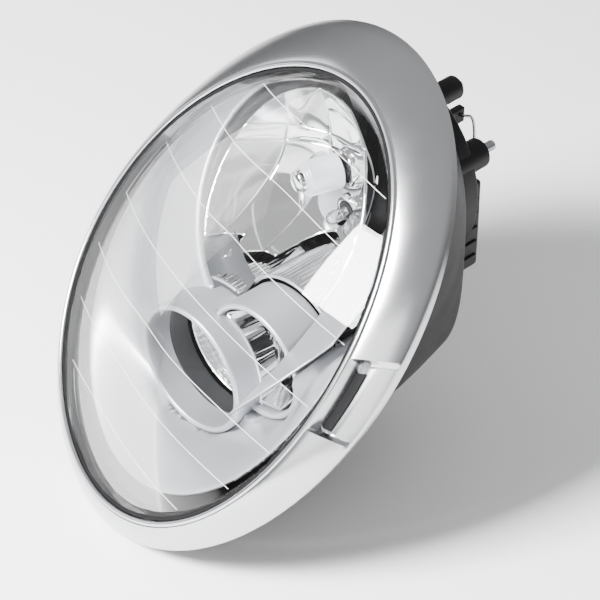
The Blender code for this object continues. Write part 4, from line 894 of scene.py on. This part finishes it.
def bucket_rows(shares, shrink, front_back, rear):
    """Rings blended by s^3 from the lens's outline to the rear's, each point going straight back."""
    angle = np.arange(288) * TURN / 288
    front = lens_edge(angle, 2.4 - shrink, front_back)
    c, s = np.cos(angle), np.sin(angle)
    x = REAR_CENTRE[0] + (REAR_HALF[0] - shrink) * np.sign(c) * np.abs(c) ** (2 / SQUARENESS)
    z = REAR_CENTRE[1] + (REAR_HALF[1] - shrink) * np.sign(s) * np.abs(s) ** (2 / SQUARENESS)
    rings = []
    for share in shares:
        blend = share**TAPER
        px = front[:, 0] + (x - front[:, 0]) * blend
        pz = front[:, 2] + (z - front[:, 2]) * blend
        rings.append(np.stack([px, front[:, 1] + (rear - front[:, 1]) * share, pz], -1))
    return np.stack(rings)


outer = bucket_rows(np.linspace(0, 0.985, 40), 0, SHELL_START, HOUSING_REAR)
corner = bucket_rows(np.array((1.0,)), 1.2, SHELL_START, HOUSING_REAR)
rear_ring = corner[0]
middle = rear_ring.mean(0)
middle[1] = HOUSING_REAR
floor_rows = np.stack([middle + (rear_ring - middle) * s for s in (1.0, 0.9)])
bucket_grid = np.concatenate([outer, floor_rows])
bucket = surface(
    "housing_bucket", bucket_grid, housing_black, "housing", "black_plastic", around=True, sharp=50
)
thicken(bucket, 2.4)
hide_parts("housing_shell")

# %% Rear wall, drum and fittings
def rear_inside(x, z):
    """Positive on the flat rear wall: within the rear outline and clear of the drum and the lower port."""
    u = np.abs(x - REAR_CENTRE[0]) / (REAR_HALF[0] - 1)
    v = np.abs(z - REAR_CENTRE[1]) / (REAR_HALF[1] - 1)
    edge = (1 - (u**SQUARENESS + v**SQUARENESS) ** (1 / SQUARENESS)) * 80
    drum_hole = circle_gap(x, z, DRUM_CENTRE, DRUM_R - 2)
    lower_port, spindle_hole = circle_gap(x, z, (14, -57), 20.5), circle_gap(x, z, (-54, -20), 4)
    return np.minimum.reduce([edge, drum_hole, lower_port, spindle_hole])


xs, zs = np.arange(-74, 89, 1.6), np.arange(-86, 107, 1.6)
points, faces = trimmed_sheet(xs, zs, lambda x, z: np.full(np.shape(x), HOUSING_REAR), rear_inside)
wall = make_mesh(
    "housing_rear_wall", points, faces, housing_black, "housing", "black_plastic", flip=(0, 1, 0)
)
thicken(wall, 3.0)
drum_floor, drum_bore = DRUM_REAR - DRUM_WALL, DRUM_R - DRUM_WALL
drum = [
    (32, drum_floor), (32, DRUM_REAR), (64, DRUM_REAR), (DRUM_R, DRUM_REAR - 2), (DRUM_R, DRUM_START),
    (drum_bore, DRUM_START), (drum_bore, drum_floor),
]
turned(
    "housing_drum", drum, DRUM_CENTRE, housing_black, "housing", "black_plastic",
    ease=1.0, open_ends=False, count=192,
)


# %% [markdown]
# Small fittings on the rear are blocks with rounded edges and turned bosses. One function makes a
# rounded block as a superellipse in section, carried from its front to its back.


# %% Blocks and bosses
def rounded_block(name, low, high, radius, material, body, slot, stands_for=()):
    """A block with rounded edges: rings of a rounded rectangle in x and z, drawn in at both ends."""
    low, high = np.array(low, float), np.array(high, float)
    t = np.linspace(0, math.pi / 2, 5)
    cx, cz = (low[0] + high[0]) / 2, (low[2] + high[2]) / 2
    hx, hz = (high[0] - low[0]) / 2, (high[2] - low[2]) / 2
    rings = []
    ends = [(radius * (1 - math.sin(a)), radius * (1 - math.cos(a))) for a in t]
    levels = [(low[1] + d, inset) for inset, d in ends] + [(high[1] - d, inset) for inset, d in ends[::-1]]
    for y, inset in levels:
        r = max(radius - inset, 0.05)
        corner = []
        for sx, sz, begin in ((1, 1, 0), (-1, 1, 1), (-1, -1, 2), (1, -1, 3)):
            a = begin * math.pi / 2 + t
            px = cx + sx * (hx - radius) + r * np.cos(a)
            pz = cz + sz * (hz - radius) + r * np.sin(a)
            corner.append(np.stack([px, np.full(5, y), pz], -1))
        rings.append(np.concatenate(corner))
    caps = [np.broadcast_to(np.array([cx, y, cz]), rings[0].shape) for y in (low[1], high[1])]
    return surface(name, np.stack([caps[0], *rings, caps[1]]), material, body, slot, stands_for, around=True)


rounded_block("rear_box", (51, 112, -14), (75, 140, 46), 2.5, housing_black, "housing", "black_plastic")
for index, z in enumerate((-6, 4, 14, 24, 34)):
    low, high = (74.2, 114, z), (76.4, 137, z + 1.8)
    rounded_block(f"box_rib_{index + 1}", low, high, 0.7, housing_black, "housing", "black_plastic")
PAN, STUD = (68.0, 60.0), (50.0, 97.0)
boss = [(3.6, HOUSING_REAR), (9, HOUSING_REAR), (9, 143), (7.6, 144), (3.6, 144)]
turned("screw_boss", boss, PAN, housing_black, "housing", "black_plastic", open_ends=False)
boss = [(2.9, HOUSING_REAR), (7, HOUSING_REAR), (7, 140), (6, 141), (2.9, 141)]
turned("stud_boss", boss, STUD, housing_black, "housing", "black_plastic", open_ends=False)
EAR_WALL = 5.0
EARS = {"left": (-118.0, 78.0, -2.0), "top": (-50.0, 127.0, 74.0), "bottom": (-2.0, 62.0, -109.5)}
for label, (x, y, z) in EARS.items():

    def ear_inside(px, pz, x=x, z=z):
        """A rounded square of half 13 round the bush's hole."""
        u, v = np.abs(px - x) / 12.9, np.abs(pz - z) / 12.9
        return np.minimum((1 - (u**6 + v**6) ** (1 / 6)) * 12, circle_gap(px, pz, (x, z), 5.4))

    xs, zs = np.arange(x - 14, x + 14, 0.9), np.arange(z - 14, z + 14, 0.9)
    points, faces = trimmed_sheet(xs, zs, lambda a, b, y=y: np.full(np.shape(a), y + EAR_WALL), ear_inside)
    ear = make_mesh(
        f"ear_{label}", points, faces, housing_black, "housing", "black_plastic", (f"mount_ear_{label}",),
        flip=(0, 1, 0),
    )
    thicken(ear, EAR_WALL)
    bush = [(3.3, y - 1), (5, y - 1), (5, y + 6), (3.3, y + 6)]
    turned(
        f"bush_{label}", bush, (x, z), zinc, "housing", "zinc_steel", (f"mount_bush_{label}",),
        ease=0.3, open_ends=False, count=64,
    )

# %% [markdown]
# ## Aiming screw, motor, covers
# These are the pieces that a mechanic touches from behind.

# %% Rear pieces
shaft = [(0, 84), (2, 84), (2, 121), (4.4, 121), (4.4, 124), (3, 124), (3, 154.2), (2.4, 155), (0, 155)]
turned("aim_shaft", shaft, PAN, zinc, "pan_screw", "zinc_steel", ("pan_adjuster_screw",), ease=0.25, count=48)
stud = [(0, 126), (2.5, 126), (2.5, 144.2), (1.7, 145), (0, 145)]
turned("threaded_stud", stud, STUD, zinc, "housing", "zinc_steel", ("upper_stud",), ease=0.2, count=48)
PORT, PORT_R, FACE = (14.0, 45.0), 31.0, 132.4
COVER_RIM = FACE + 1.8
cover = [
    (0, FACE + 16), (PORT_R - 9, FACE + 16), (PORT_R - 2, FACE + 12), (PORT_R, COVER_RIM + 3),
    (34.9, COVER_RIM + 3), (34.9, COVER_RIM),
    (28.5, COVER_RIM), (28.5, FACE + 10.5), (PORT_R - 10, FACE + 13.5), (0, FACE + 13.5),
]
turned(
    "cover_cup", cover, PORT, housing_black, "cover", "black_plastic", ("rear_cover",), ease=1.2, count=144
)
for side in (-1, 1):
    x = PORT[0] + side * 33
    low, high = (x - 2.4, COVER_RIM + 0.6, 69), (x + 2.4, COVER_RIM + 16.5, 78.8)
    rounded_block(f"cover_ear_{side + 2}", low, high, 0.9, housing_black, "cover", "black_plastic")
low, high = (PORT[0] - 35.2, COVER_RIM, 69), (PORT[0] + 35.2, COVER_RIM + 3, 78.8)
rounded_block("cover_bar", low, high, 0.9, housing_black, "cover", "black_plastic")
PIN_Y, PIN_Z = 146.7, 75.0
back = PIN_Y + 9
right_side = [
    (29, PIN_Y, PIN_Z), (37, PIN_Y, PIN_Z), (38, PIN_Y + 1.2, PIN_Z),
    (38, back, 71), (38, back + 2, 47), (38, back + 1, 23), (34, back, 18),
]
left_side = [(PORT[0] - a, b, c) for a, b, c in right_side[::-1]]
knots = np.array([(PORT[0] + a, b, c) for a, b, c in right_side] + left_side)


def smooth_path(points, rounds=3):
    """Chaikin's corner cutting: each span a-b becomes 3/4 a + 1/4 b and 1/4 a + 3/4 b."""
    path = np.asarray(points, float)
    for _ in range(rounds):
        a, b = path[:-1], path[1:]
        cut = np.stack([0.75 * a + 0.25 * b, 0.25 * a + 0.75 * b], 1).reshape(-1, 3)
        path = np.concatenate([path[:1], cut, path[-1:]])
    return path


tube("wire_bail", smooth_path(knots), 0.85, spring, "bail", "spring_steel", ("cover_bail",), sides=12)
for node, coat in {
    "vent_cap": rubber, "cover_seal": rubber, "wiring_socket": housing_black,
    "levelling_motor": housing_black, "tilt_knob": nylon, "tilt_spindle": nylon,
    "pan_adjuster_nut": nylon, "pivot_socket": nylon, "pivot_ball_stud": zinc,
    "lower_access_cap": housing_black, "reflector_carrier": housing_black, "main_bulb_base": housing_black,
    "position_bulb_holder": housing_black, "left_bulb_holder": housing_black,
    "right_bulb_holder": housing_black,
    "trim_clip_1": spring, "trim_clip_2": spring, "trim_clip_3": spring, "trim_clip_4": spring,
}.items():
    for material_slot in NODES[node].material_slots:
        material_slot.material = coat

# %% [markdown]
# ## Stage
# A pale floor, soft lights from above and the front, and the camera.

# %% Floor, lights, camera
low = min(corner.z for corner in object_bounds())
size = 6.0
floor_mesh = bpy.data.meshes.new("floor")
floor_z = low - 0.002
corners = [(x, y, floor_z) for x, y in ((-size, -size), (size, -size), (size, size), (-size, size))]
floor_mesh.from_pydata(corners, [], [(0, 1, 2, 3)])
floor = bpy.data.objects.new("floor", floor_mesh)
bpy.context.scene.collection.objects.link(floor)
floor_mesh.materials.append(finish("white studio floor", "FFFFFF", 0.0, 0.6))
floor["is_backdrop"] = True

world = bpy.data.worlds.new("studio")
world.use_nodes = True
sky = world.node_tree.nodes["Background"]
sky.inputs["Color"].default_value = linear("FFFFFF")
towards = world.node_tree.nodes.new("ShaderNodeTexCoord")
split = world.node_tree.nodes.new("ShaderNodeSeparateXYZ")
climb = world.node_tree.nodes.new("ShaderNodeMapRange")
for key, value in {"From Min": 0.0, "From Max": 0.7, "To Min": 0.2, "To Max": 0.6}.items():
    climb.inputs[key].default_value = value
world.node_tree.links.new(towards.outputs["Generated"], split.inputs["Vector"])
world.node_tree.links.new(split.outputs["Z"], climb.inputs["Value"])
world.node_tree.links.new(climb.outputs["Result"], sky.inputs["Strength"])
bpy.context.scene.world = world


def soft_light(name, place, aim, size_m, power):
    """A square area light at place, aimed at a point."""
    lamp = bpy.data.lights.new(name, "AREA")
    lamp.size, lamp.energy = size_m, power
    obj = bpy.data.objects.new(name, lamp)
    obj.location = place
    obj.rotation_euler = (Vector(aim) - Vector(place)).to_track_quat("-Z", "Y").to_euler()
    bpy.context.scene.collection.objects.link(obj)
    return obj


soft_light("key", (-0.2, -1.1, 1.08), (0, 0.1, 0), 0.45, 150)
soft_light("front_panel", (0.9, -1.8, 0.7), (0, 0, 0), 1.5, 22)
soft_light("left_panel", (-1.6, -0.5, 0.6), (0, 0, 0), 1.0, 8)

EYE = np.array((753.7, -650.2, 761.2)) / 1000
AIM = np.array((35.4, 33.5, -6.4)) / 1000
camera = bpy.data.cameras.new("camera")
camera.lens, camera.sensor_width = 132.0, 36.0
view = bpy.data.objects.new("camera", camera)
view.location = EYE
view.rotation_euler = Vector(AIM - EYE).to_track_quat("-Z", "Y").to_euler()
bpy.context.scene.collection.objects.link(view)
bpy.context.scene.camera = view
